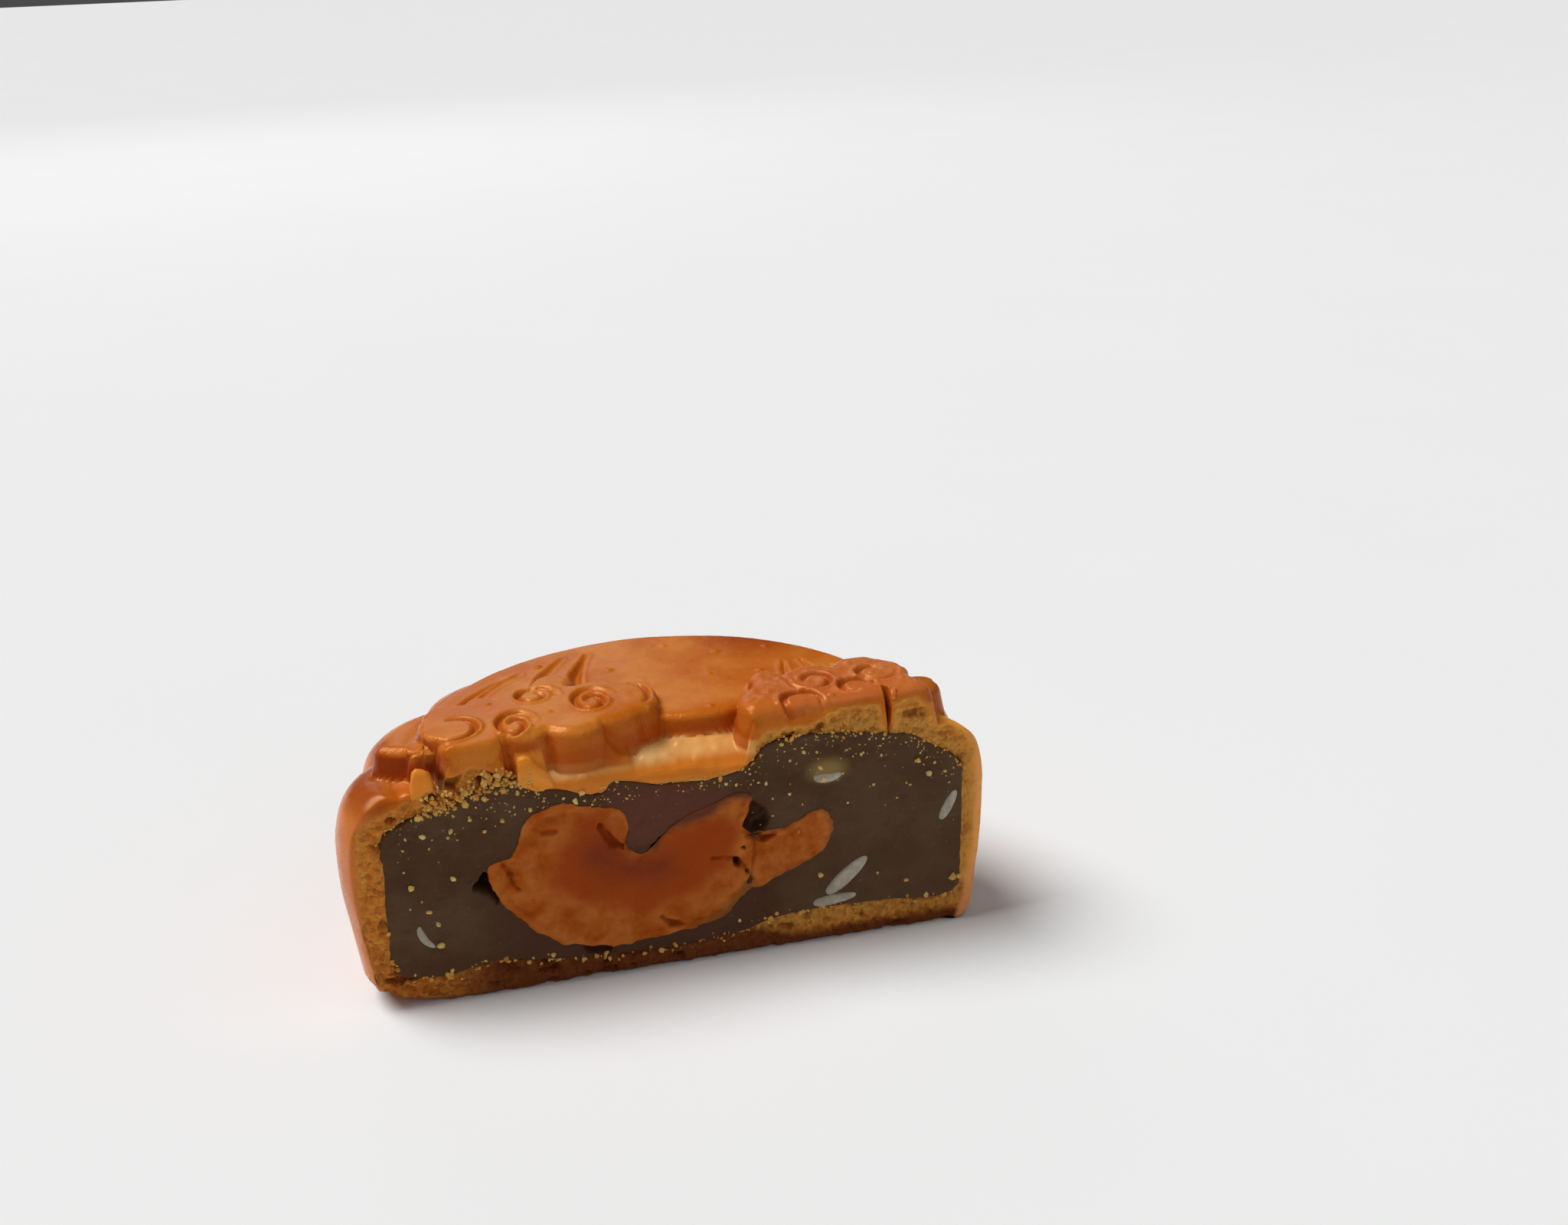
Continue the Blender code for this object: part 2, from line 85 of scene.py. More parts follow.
def grainDistance(p, size, seed=0):
    # distance to the nearest of one scattered point in each cell, in cells: 0 in the middle of a grain
    q = p / size + 512.0
    cell = np.floor(q).astype(np.int64)
    nearest = np.full(p.shape[:-1], 9.0)
    for k in range(27):
        d = np.array([k % 3 - 1, k // 3 % 3 - 1, k // 9 - 1])
        c = cell + d
        ix, iy, iz = np.moveaxis(c, -1, 0)
        spot = np.stack([hashed(ix, iy, iz, seed + s) for s in (11, 12, 13)], -1) + c
        nearest = np.minimum(nearest, ((spot - q) ** 2).sum(-1))
    return np.sqrt(nearest)


def ease(t):
    t = np.clip(t, 0.0, 1.0)
    return t * t * (3.0 - 2.0 * t)


def bell(t):
    # 1 at 0, and falling off on both sides
    return np.exp(-t ** 2)


def smoothSpan(a, b, c, d, t):
    # the smooth curve from b to c, with a before it and d after it, at the shares t
    return 0.5 * (2 * b + (c - a) * t + (2 * a - 5 * b + 4 * c - d) * t ** 2
                  + (3 * b - a - 3 * c + d) * t ** 3)


def runAlong(points):
    # how far along a polyline each of its points lies
    return np.concatenate([[0.0], np.cumsum(np.linalg.norm(np.diff(points, axis=0), axis=1))])


def throughPoints(points, count, closed=False):
    # count points evenly spaced along the smooth curve through the given ones
    p = np.array(points, float)
    if closed:
        p = np.vstack([p[-1:], p, p[:2]])
    else:
        p = np.vstack([2 * p[0] - p[1], p, 2 * p[-1] - p[-2]])
    t = np.linspace(0.0, 1.0, 12, endpoint=False)[:, None]
    spans = [smoothSpan(a, b, c, d, t) for a, b, c, d in zip(p, p[1:], p[2:], p[3:])]
    dense = np.vstack(spans + [p[-2:-1]])
    run = runAlong(dense[:, :2])
    wanted = np.linspace(0.0, run[-1], count + 1 if closed else count)[:count]
    return np.stack([np.interp(wanted, run, dense[:, k]) for k in range(dense.shape[1])], 1)


# Meshes

def onCut(x, z, y=0.0):
    # points from their x and z on the cut face, and how far back they lie
    return np.stack(np.broadcast_arrays(x, y, z), -1)


def wrapped(rows):
    # closes each row of a grid with its first column
    return np.concatenate([rows, rows[:, :1]], 1)


def numberGrid(shape, start=0):
    return np.arange(start, start + shape[0] * shape[1]).reshape(shape[:2])


def gridFaces(index):
    # two triangles for each cell of a grid of vertex numbers
    a, b, c, d = index[:-1, :-1], index[1:, :-1], index[1:, 1:], index[:-1, 1:]
    return np.concatenate([np.stack(corners, -1).reshape(-1, 3) for corners in ([a, b, c], [a, c, d])])


def fanFaces(ring, middle):
    # triangles from a closed ring of vertex numbers to the one in its middle
    return np.stack([ring[:-1], ring[1:], np.full(len(ring) - 1, middle)], -1)


def meshFrom(name, points, faces, marks, material, smooth=True):
    # one closed mesh: points that coincide become one, faces without area go, and all face outwards
    unique, inverse = np.unique(np.round(points, 4), axis=0, return_inverse=True)
    inverse = inverse.reshape(-1)
    first = np.zeros(len(unique), int)
    first[inverse[::-1]] = np.arange(len(points))[::-1]
    faces = inverse[faces]
    faces = faces[(faces != np.roll(faces, 1, axis=1)).all(1)]
    used = np.unique(faces)
    renumber = np.zeros(len(unique), int)
    renumber[used] = np.arange(len(used))
    faces = renumber[faces]
    kept = first[used]
    mesh = bpy.data.meshes.new(name)
    mesh.from_pydata(points[kept] * cake["mm"], [], faces)
    for key, values in marks.items():
        attribute = mesh.attributes.new(key, 'FLOAT', 'POINT')
        attribute.data.foreach_set("value", np.asarray(values, np.float32)[kept])
    bm = bmesh.new()
    bm.from_mesh(mesh)
    bmesh.ops.recalc_face_normals(bm, faces=bm.faces)
    bm.to_mesh(mesh)
    loose = sum(1 for e in bm.edges if len(e.link_faces) != 2)
    bm.free()
    if smooth:
        mesh.shade_smooth()
    piece = bpy.data.objects.new(name, mesh)
    bpy.context.scene.collection.objects.link(piece)
    mesh.materials.append(material)
    print(f"{name}: {len(faces)} triangles, {loose} open or shared edges")
    return piece


# Materials

def newMaterial(name, **sockets):
    material = bpy.data.materials.new(name)
    material.use_nodes = True
    shader = material.node_tree.nodes["Principled BSDF"]
    for key, value in sockets.items():
        shader.inputs[key.replace("_", " ")].default_value = value
    return material, material.node_tree, shader


def addNode(tree, kind, inputs=None, **settings):
    # inputs maps a socket's name or number to a value or to another node's output
    node = tree.nodes.new("ShaderNode" + kind)
    for key, value in settings.items():
        setattr(node, key, value)
    for key, value in (inputs or {}).items():
        if isinstance(value, bpy.types.NodeSocket):
            tree.links.new(value, node.inputs[key])
        else:
            node.inputs[key].default_value = value
    return node


def mark(tree, name):
    return addNode(tree, "Attribute", attribute_name=name).outputs["Fac"]


def place(tree, stretch=(1.0, 1.0, 1.0)):
    # Object coordinates in millimetres, stretched if wanted
    coordinates = addNode(tree, "TexCoord").outputs["Object"]
    scale = tuple(1000.0 * s for s in stretch)
    return addNode(tree, "Mapping", {"Vector": coordinates, "Scale": scale}).outputs["Vector"]


def mottle(tree, where, size, detail=3.0, roughness=0.55):
    inputs = {"Vector": where, "Scale": 1.0 / size, "Detail": detail, "Roughness": roughness}
    return addNode(tree, "TexNoise", inputs).outputs["Fac"]


def cells(tree, where, size):
    # distance to the middle of the nearest grain, and a random value for that grain
    grain = addNode(tree, "TexVoronoi", {"Vector": where, "Scale": 1.0 / size})
    return grain.outputs["Distance"], addNode(tree, "SeparateColor", {0: grain.outputs["Color"]}).outputs[0]


def wobbled(tree, where, size, amount):
    # the place, moved about at random, so that what is drawn by it gets uneven edges
    shift = addNode(tree, "TexNoise", {"Vector": where, "Scale": 1.0 / size}).outputs["Color"]
    shift = addNode(tree, "VectorMath", {0: shift, 1: (0.5, 0.5, 0.5)}, operation='SUBTRACT').outputs[0]
    shift = addNode(tree, "VectorMath", {0: shift, 3: 2.0 * amount}, operation='SCALE').outputs[0]
    return addNode(tree, "VectorMath", {0: where, 1: shift}, operation='ADD').outputs[0]


def spread(tree, value, low, high, to=(0.0, 1.0)):
    inputs = {"Value": value, "From Min": low, "From Max": high, "To Min": to[0], "To Max": to[1]}
    return addNode(tree, "MapRange", inputs, interpolation_type='SMOOTHSTEP').outputs["Result"]


def sums(tree, kind, a, b):
    return addNode(tree, "Math", {0: a, 1: b}, operation=kind).outputs[0]


def product(tree, *factors):
    result = factors[0]
    for factor in factors[1:]:
        result = sums(tree, 'MULTIPLY', result, factor)
    return result


def blendColours(tree, share, a, b):
    node = addNode(tree, "Mix", data_type='RGBA')
    for key, value in ((0, share), (6, a), (7, b)):
        if isinstance(value, bpy.types.NodeSocket):
            tree.links.new(value, node.inputs[key])
        else:
            node.inputs[key].default_value = value if isinstance(value, float) else (*value, 1.0)
    return node.outputs[2]


def layered(tree, tones, colour, layers):
    # lays one tone after another over a colour: each layer is its share, and a tone's name or a colour
    for share, tone in layers:
        colour = blendColours(tree, share, colour, tones[tone] if isinstance(tone, str) else tone)
    return colour


def ramp(tree, value, stops):
    node = addNode(tree, "ValToRGB", {"Fac": value})
    elements = node.color_ramp.elements
    while len(elements) < len(stops):
        elements.new(0.5)
    for element, (position, colour) in zip(elements, stops):
        element.position = position
        element.color = (*colour, 1.0)
    return node.outputs["Color"]


def bump(tree, shader, height, distance, strength=1.0, after=None):
    inputs = {"Height": height, "Distance": distance * cake["mm"], "Strength": strength}
    if after is not None:
        inputs["Normal"] = after
    normal = addNode(tree, "Bump", inputs).outputs["Normal"]
    tree.links.new(normal, shader.inputs["Normal"])
    return normal


# The mould: the solid's circles, strokes and scrolls, some of them measured again and some added

mould = {
    "lobes": 16,
    "notchAngle": math.radians(4.5),
    "lobeFullness": 2.3,
    "platform": 31.5,
    "floor": 28.3,
    "cloudTop": 33.3,
    "tailTop": 31.8,
    "draft": 0.15,             # a side's width per unit of its height
    "round": 1.45,             # how far the rounding reaches in from an edge
    "moon": (5.4, 16.2, 13.3),
    "recessSide": [(-10.0, 4.5), (-20.0, 1.2), (-27.7, 0.5), (-27.7, -8.0)],
    "recessRight": 14.0,
    "recessMoonFrom": -4.0,
}
# circle: x, y, radius; a cloud is what the circles reach from its middle
clouds = [
    {"middle": (-15.0, 5.5), "circles": [
        (-6.9, 6.9, 6.4), (-10.5, 2.9, 4.2), (-17.0, 3.2, 4.2), (-14.8, 9.1, 4.9), (-23.2, 5.7, 5.7),
        (-23.0, 0.6, 4.0), (-11.8, 14.3, 2.8), (-21.0, 11.1, 1.9), (-25.4, 8.7, 2.8), (-16.8, 12.0, 2.0),
        (-3.1, 8.4, 3.7), (-3.6, 6.2, 4.0)]},
    {"middle": (21.0, 2.5), "circles": [
        (14.5, 1.0, 5.1), (19.9, 4.9, 4.7), (26.8, 5.2, 5.3), (24.3, 0.2, 3.7), (29.3, 0.7, 2.8),
        (14.3, 7.7, 2.0), (14.3, 5.5, 2.2), (19.2, -2.2, 3.0), (30.7, -1.4, 2.5)]},
]
# x, y, start angle, turns, half width, half depth, share of the size left at the inner end
scrolls = [
    (-24.8, 3.8, -165, 0.76, 3.2, 3.4, 0.75), (-14.3, 10.4, -20, 1.3, 2.7, 2.9, 0.28),
    (-17.6, 2.7, 0, 1.5, 2.4, 3.7, 0.22), (-7.7, 6.8, 15, 1.5, 2.6, 3.9, 0.22),
    (-3.6, 7.6, 75, -0.36, 3.1, 3.9, 1.0),
    (16.4, -1.1, -40, 1.0, 3.0, 3.0, 0.3), (19.6, 4.5, 160, 1.1, 3.1, 3.1, 0.3),
    (27.6, 4.7, 0, -1.0, 3.0, 3.0, 0.3), (24.1, 1.0, -20, 0.86, 2.4, 2.4, 0.55),
]
# how wide a scroll's groove is on its steep outer side and on its sloping inner side
scrollGroove = {"steep": 0.38, "slope": 0.75, "depth": 0.6, "lip": 0.16}
# depth beside the cloud and at the tip, then x, y, width along the line
sweeps = [
    (0.45, 0.15, [(-24.3, 11.2, 0.9), (-22.6, 14.8, 1.0), (-20.4, 17.6, 0.8), (-18.2, 20.0, 0.3)]),
    (0.45, 0.15, [(-21.4, 13.0, 0.8), (-20.0, 16.8, 0.8), (-17.6, 19.7, 0.6), (-14.7, 22.1, 0.3)]),
    (0.90, 0.30, [(-14.3, 14.0, 1.2), (-12.4, 19.6, 1.5), (-10.8, 22.6, 0.9), (-8.8, 25.5, 0.3)]),
    (1.60, 0.50, [(-8.2, 13.4, 0.7), (-8.0, 19.0, 1.8), (-7.0, 22.4, 1.1), (-5.5, 25.9, 0.3)]),
    (0.60, 0.30, [(17.9, 8.6, 1.4), (18.1, 12.2, 1.0), (18.7, 15.5, 0.3)]),
    (0.60, 0.30, [(21.7, 8.6, 1.2), (21.5, 12.2, 0.9), (21.0, 15.2, 0.3)]),
]
tails = [
    [(-25.5, 3.6, 3.4), (-28.7, 3.4, 3.1), (-31.2, 3.9, 2.9), (-32.9, 4.6, 2.6)],
    [(28.5, 2.6, 5.6), (31.5, 2.7, 5.6), (32.9, 2.7, 5.5)],
]
# the fold of skin that hangs from the left cloud's corner to the sunken floor, and its top at both ends
fold = {"line": [(-8.8, 1.0, 2.4), (-7.0, 0.1, 2.4), (-5.0, -0.2, 1.8)], "top": (32.2, 28.7)}
# the teeth that the knife left of the platform and of a bar: their outlines at the cut, in x and z
teeth = [
    {"x": [-30.8, -30.2, -29.7, -28.7, -28.1, -27.5], "z": [28.0, 30.8, 31.2, 31.0, 30.3, 28.0]},
    {"x": [-18.3, -18.0, -17.2, -16.5, -15.5, -14.6, -14.0], "z": [27.5, 30.6, 30.9, 30.7, 29.4, 28.5, 27.5]},
]
# beside the left tail the platform is gone as far back as this, up to this x
gone = {"before": 1.5, "right": -26.9}
cloudNotch = [(27.5, -6.0, 0.7), (27.5, -1.0, 0.6), (27.4, -0.2, 0.35)]
# how far the skin bends down to the cut, by x, and from how far behind it
rollOver = {
    "x": [-39.0, -32.0, -30.5, -27.4, -27.0, -25.0, -23.8, -21.5, -19.0, 9.0, 12.0, 17.0, 20.0, 34.0, 39.0],
    "drop": [1.1, 0.9, 0.7, 0.7, 3.0, 2.9, 2.1, 2.8, 3.1, 1.4, 2.2, 1.9, 0.9, 0.7, 0.6],
    "reach": [1.9, 1.9, 0.9, 0.9, 1.3, 1.0, 0.9, 1.3, 1.8, 1.9, 1.9, 1.9, 1.9, 1.9, 1.9],
}
# the same for the sunken floor
floorBend = {
    "x": [-19.0, -16.0, -8.0, -3.0, 3.0, 10.0],
    "drop": [0.9, 1.1, 1.2, 1.7, 2.1, 2.1],
    "reach": [2.0, 2.2, 2.6, 4.0, 4.8, 4.8],
}
# x, y, radius of the small blisters in the skin
pimples = [
    (-20.0, 9.6, 0.35), (-13.1, 5.0, 0.35), (-3.5, 19.7, 0.5), (0.1, 11.0, 0.45), (-12.2, 23.8, 0.5),
    (-8.6, 13.4, 0.4), (-1.2, 3.4, 0.4), (-8.4, 31.7, 0.6), (-21.3, 24.4, 0.5), (4.8, 25.5, 0.4),
    (11.0, 21.5, 0.55), (8.6, 14.5, 0.4), (15.1, 13.6, 0.5), (17.7, 21.2, 0.4), (15.7, 6.0, 0.6),
    (24.7, 12.2, 0.5), (23.9, 10.8, 0.45), (25.2, 7.9, 0.5), (27.1, 4.0, 0.45), (6.6, 4.6, 0.45),
    (30.2, 1.4, 0.5), (20.6, -0.8, 0.5), (17.4, 1.6, 0.4), (22.8, 3.6, 0.4), (13.4, 2.2, 0.45),
]


def cloudOutline(cloud):
    # for each direction from the middle, the farthest point of the circles
    mx, my = cloud["middle"]
    cx, cy, radius = np.array(cloud["circles"]).T
    angle = np.linspace(0.0, math.tau, 300, endpoint=False)[:, None]
    along = (cx - mx) * np.cos(angle) + (cy - my) * np.sin(angle)
    across = (cx - mx) * np.sin(angle) - (cy - my) * np.cos(angle)
    half = radius ** 2 - across ** 2
    reach = np.where(half > 0.0, along + np.sqrt(np.maximum(half, 0.0)), 0.0).max(1)
    return np.stack([mx + reach * np.cos(angle[:, 0]), my + reach * np.sin(angle[:, 0])], 1)


def recessOutline():
    mx, my, mr = mould["moon"]
    x = np.linspace(mould["recessRight"], mould["recessMoonFrom"], 60)
    arc = np.stack([x, my - np.sqrt(mr ** 2 - (x - mx) ** 2)], 1)
    return np.vstack([[(mould["recessRight"], -8.0)], arc, mould["recessSide"]])


def nearestOnLine(x, y, line, closed):
    # for each point the nearest spot of a polyline: offset from it, and how far along it lies
    a = line if closed else line[:-1]
    b = np.roll(line, -1, 0) if closed else line[1:]
    offset = np.full((len(x), 2), 99.0)
    along = np.zeros(len(x))
    near = (x > line[:, 0].min() - 6) & (x < line[:, 0].max() + 6)
    near &= (y > line[:, 1].min() - 6) & (y < line[:, 1].max() + 6)
    picked = np.nonzero(near)[0]
    for block in np.array_split(picked, max(1, len(picked) // 6000)):
        px, py = x[block, None], y[block, None]
        ex, ey = b[:, 0] - a[:, 0], b[:, 1] - a[:, 1]
        t = ((px - a[:, 0]) * ex + (py - a[:, 1]) * ey) / np.maximum(ex ** 2 + ey ** 2, 1e-12)
        t = np.clip(t, 0.0, 1.0)
        dx, dy = px - a[:, 0] - t * ex, py - a[:, 1] - t * ey
        best = np.argmin(dx ** 2 + dy ** 2, 1)
        rows = np.arange(len(block))
        offset[block] = np.stack([dx[rows, best], dy[rows, best]], 1)
        along[block] = best + t[rows, best]
    return offset, along, near


def insideOutline(x, y, outline):
    # how many edges of the closed outline lie to the right of each point: odd is inside
    crossings = np.zeros(len(x), int)
    for (ax, ay), (bx, by) in zip(outline, np.roll(outline, -1, 0)):
        hit = (ay > y) != (by > y)
        with np.errstate(divide='ignore', invalid='ignore'):
            crossings += hit & (x < (bx - ax) * (y - ay) / (by - ay) + ax)
    return crossings % 2 == 1


def edgeDistance(x, y, outline):
    # distance in from a closed outline, negative outside it, and the direction that goes in
    offset, along, near = nearestOnLine(x, y, outline, True)
    sign = np.where(insideOutline(x, y, outline), 1.0, -1.0)
    length = np.hypot(offset[:, 0], offset[:, 1])
    inward = offset / np.maximum(length, 1e-9)[:, None] * sign[:, None]
    return np.where(near, length * sign, np.where(sign > 0, 9.0, -9.0)), inward


def strokeDistance(x, y, line):
    # distance in from the edge of a tapered stroke, and the share of its length there
    dense = throughPoints(line, 40)
    offset, along, near = nearestOnLine(x, y, dense[:, :2], False)
    half = np.interp(along, np.arange(len(dense)), dense[:, 2]) / 2.0
    return half - np.hypot(offset[:, 0], offset[:, 1]), along / (len(dense) - 1.0)


def strokeOutline(line):
    # one side of a tapered stroke, a half circle round its end, and the other side back
    dense = throughPoints(line, 40)
    heading = np.gradient(dense[:, :2], axis=0)
    heading /= np.linalg.norm(heading, axis=1)[:, None]
    half = dense[:, 2:3] / 2.0
    side = np.stack([-heading[:, 1], heading[:, 0]], 1) * half
    turn = np.linspace(0.0, math.pi, 24)[1:-1, None]
    tip = dense[-1, :2] + side[-1] * np.cos(turn) + heading[-1] * half[-1] * np.sin(turn)
    return np.vstack([dense[:, :2] + side, tip, (dense[:, :2] - side)[::-1]])


def spiralLine(x, y, start, turns, halfWidth, halfDepth, inner):
    # a point that turns about x, y on an ellipse that shrinks to the inner share
    t = np.linspace(0.0, 1.0, 60)
    angle = math.radians(start) + math.tau * turns * t
    radius = 1.0 + (inner - 1.0) * t ** 1.2
    return np.stack([x + halfWidth * radius * np.cos(angle), y + halfDepth * radius * np.sin(angle)], 1)


def wallRise(d, height):
    # height of a moulded edge at distance d in from it: a drafted side, then a quarter round on top
    rounding = mould["round"] * np.clip(height / 2.0, 0.5, 1.0)
    cap = np.minimum(height * 0.55, rounding * 0.9)
    side = np.maximum(mould["draft"] * height, 0.05)
    low = (d + side) / side * (height - cap)
    foot = 0.22
    low = np.where(low < 2 * foot, foot * np.exp2(np.minimum(low - 2 * foot, 0.0) / foot / 1.6), low)
    high = height - cap + cap * np.sqrt(np.clip(1.0 - (1.0 - np.clip(d / rounding, 0, 1)) ** 2, 0.0, 1.0))
    return np.where(d < 0.0, low, high)


def raised(z, d, top):
    # lifts the surface to the top where d is inside
    height = np.maximum(top - z, 0.0)
    return z + wallRise(d, height)


edges = {
    "clouds": [cloudOutline(cloud) for cloud in clouds],
    "tails": [strokeOutline(line) for line in tails],
    "recess": recessOutline(),
}


def bendAt(bend, x, fromCut):
    # how far a bend drops in the end at this x, and its share at this distance from the cut
    share = np.clip(1.0 - fromCut / np.interp(x, bend["x"], bend["reach"]), 0.0, 1.0)
    return np.interp(x, bend["x"], bend["drop"]), share


def mouldedHeight(x, y, z):
    # z is the plain surface's height; the pattern is pressed into it in the order in which it overlaps
    p = np.stack([x, y, np.zeros_like(x)], -1)
    outside, inward = edgeDistance(x, y, edges["recess"])
    deep = z > mould["floor"] + 0.3
    z = np.where(deep, mould["floor"] + wallRise(-outside, np.maximum(z - mould["floor"], 0.0)), z)
    inRecess = ease(outside / 0.8)
    fromCut = y + cake["cutOffset"]
    drop, toCut = bendAt(floorBend, x, fromCut)
    z = z + inRecess * (0.25 - drop * toCut ** 1.8 + 0.20 * noise(p, 2.2, 3) + 0.10 * noise(p, 0.9, 4))
    beside = ease((gone["right"] - x) / 0.3) * ease((gone["before"] - y) / 0.4) * (z > mould["floor"])
    z = z + beside * np.minimum(mould["floor"] - z, 0.0)
    # a tooth stands at the cut and falls away behind it
    golden = np.zeros_like(x)
    for tooth in teeth:
        rise = np.maximum(np.interp(x, tooth["x"], tooth["z"], left=-9.0, right=-9.0) - z, 0.0)
        behind = ease((2.0 - fromCut) / 1.2)
        z = z + rise * behind
        golden = np.maximum(golden, ease(rise * behind / 0.6))
    for deepest, shallowest, line in sweeps:
        d, along = strokeDistance(x, y, line)
        depth = deepest + (shallowest - deepest) * along
        half = np.interp(along, np.linspace(0, 1, len(line)), [w / 2.0 for _, _, w in line])
        z = z - depth * ease((d + 0.05) / (half + 0.05)) + 0.06 * bell((d + 0.35) / 0.3)
    lips = bell((-outside - 0.4) / 0.4)
    d, along = strokeDistance(x, y, fold["line"])
    foldTop = fold["top"][0] + (fold["top"][1] - fold["top"][0]) * ease(along)
    z = z + np.maximum(foldTop - z, 0.0) * ease((d + 0.5) / 1.5)
    folded = ease((d + 0.3) / 0.8)
    for outline in edges["tails"]:
        d = edgeDistance(x, y, outline)[0]
        z = raised(z, d, mould["tailTop"] + 0.25 * (1.0 - np.exp(-np.maximum(d, 0.0) / 1.5)))
        lips = np.maximum(lips * (d < 0.3), bell((d - 0.35) / 0.35))
    onCloud = np.zeros_like(x)
    for outline in edges["clouds"]:
        d = edgeDistance(x, y, outline)[0]
        pillow = 0.22 * (1.0 - np.exp(-np.maximum(d, 0.0) / 1.8)) + 0.1 * noise(p, 4.0, 5)
        z = raised(z, d, mould["cloudTop"] - 0.15 + pillow)
        onCloud = np.maximum(onCloud, ease((d + 0.4) / 1.2))
        lips = np.maximum(lips * (d < 0.5), bell((d - 0.4) / 0.4))
    d, along = strokeDistance(x, y, cloudNotch)
    z = z - 4.0 * ease((d + 0.2) / 0.5) * ease((np.minimum(z, 33.0) - 28.9) / 4.0) ** 0.5
    inScroll = np.zeros_like(x)
    for scroll in scrolls:
        line = spiralLine(*scroll)
        offset, along, near = nearestOnLine(x, y, line, False)
        t = along / (len(line) - 1.0)
        swell = np.sqrt(np.clip(np.sin(math.pi * t), 0.0, 1.0))
        distance = np.hypot(offset[:, 0], offset[:, 1])
        cx, cy, halfWidth, halfDepth = scroll[0], scroll[1], scroll[4], scroll[5]
        lineRadius = np.hypot((line[:, 0] - cx) / halfWidth, (line[:, 1] - cy) / halfDepth)
        lineRadius = np.interp(along, np.arange(len(line)), lineRadius)
        outwards = np.hypot((x - cx) / halfWidth, (y - cy) / halfDepth) > lineRadius
        r = distance / np.where(outwards, scrollGroove["steep"], scrollGroove["slope"]) / (0.5 + 0.5 * swell)
        groove = np.where(r < 1.0, (1.0 - np.clip(r, 0, 1) ** 2) ** 1.5, 0.0) * swell
        z = z - scrollGroove["depth"] * groove
        rim = np.where(outwards, bell((distance - 0.65) / 0.28), 0.0) * swell * onCloud
        z = z + scrollGroove["lip"] * rim
        inScroll = np.maximum(inScroll, groove)
        lips = np.maximum(lips, np.maximum(rim, groove * 0.8))
    for px, py, radius in pimples:
        z = z + 0.5 * radius * np.sqrt(np.clip(1.0 - ((x - px) ** 2 + (y - py) ** 2) / radius ** 2, 0.0, 1.0))
    z = z + 0.05 * noise(p, 8.0, 21) + 0.02 * noise(p, 2.3, 22) + 0.012 * noise(p, 0.8, 23)
    z = z + 0.05 * lips * noise(p, 0.5, 24)
    # the right cloud took the mould less cleanly and is lumpier
    z = z + onCloud * ease((x - 8.0) / 4.0) * (0.13 * noise(p, 2.1, 26) + 0.07 * noise(p, 0.9, 27))
    # the skin bends down towards the cut
    drop, toCut = bendAt(rollOver, x, fromCut)
    drop = drop * np.maximum(1.0 - inRecess, onCloud)
    bent = drop * (1.0 - np.sqrt(1.0 - np.minimum(toCut, 0.995) ** 2)) * ease((z - 26.0) / 3.0)
    # the narrow gap between the left tail and the left cloud, where the finish paints shadow
    gapShadow = bell((x + 27.1) / 0.5) * ease((5.0 - fromCut) / 1.5) * ease((31.5 - z) / 1.5) * (z > 27.0)
    golden = golden * (1.0 - onCloud) * ease((31.5 - z) / 0.4)
    marks = {"recess": ease((outside + 1.6) / 0.8) * (1.0 - folded), "cloud": onCloud, "scroll": inScroll,
             "lip": lips, "gilt": golden, "gapShadow": gapShadow, "bent": bent}
    return z - bent, marks


def gathered(x, y, outlines, shareX, shareY, reach=0.75, pull=0.62):
    # moves a grid's points towards the outlines, so that the sides there get more of them
    for outline in outlines:
        d, inward = edgeDistance(x.ravel(), y.ravel(), outline)
        shift = (inward * (-pull * d * bell(d / reach))[:, None]).reshape(*x.shape, 2)
        x, y = x + shift[..., 0] * shareX, y + shift[..., 1] * shareY
    return x, y


# The crust: rings of lobe crest radius, notch radius and height, from the platform out and down to the base
wallRings = [
    (28.6, 28.6, 31.5), (29.6, 29.6, 31.45), (30.2, 30.2, 31.05), (30.5, 30.5, 30.2), (30.75, 30.75, 28.9),
    (31.1, 31.1, 28.35), (32.3, 31.8, 28.15), (34.2, 32.7, 28.35), (36.2, 33.8, 27.8), (38.1, 35.5, 26.5),
    (39.4, 36.9, 24.2), (40.0, 37.7, 20.0), (39.8, 37.6, 12.0), (38.8, 36.9, 4.0), (37.9, 36.2, 1.1),
    (37.3, 35.7, 0.25), (36.4, 34.9, 0.0),
]
crustGrid = {"columns": 380, "topRows": 110, "ringRows": [3, 4, 4, 5, 3, 5, 8, 8, 6, 4, 5, 7, 7, 3, 2, 2],
             "bandRows": 15, "baseRows": 5, "cavityRows": 5}
wornCorner = {"x": [-38.7, -38.2, -37.1, -34.5, -31.5, -28.0], "z": [5.6, 4.6, 3.0, 1.5, 0.6, 0.0]}
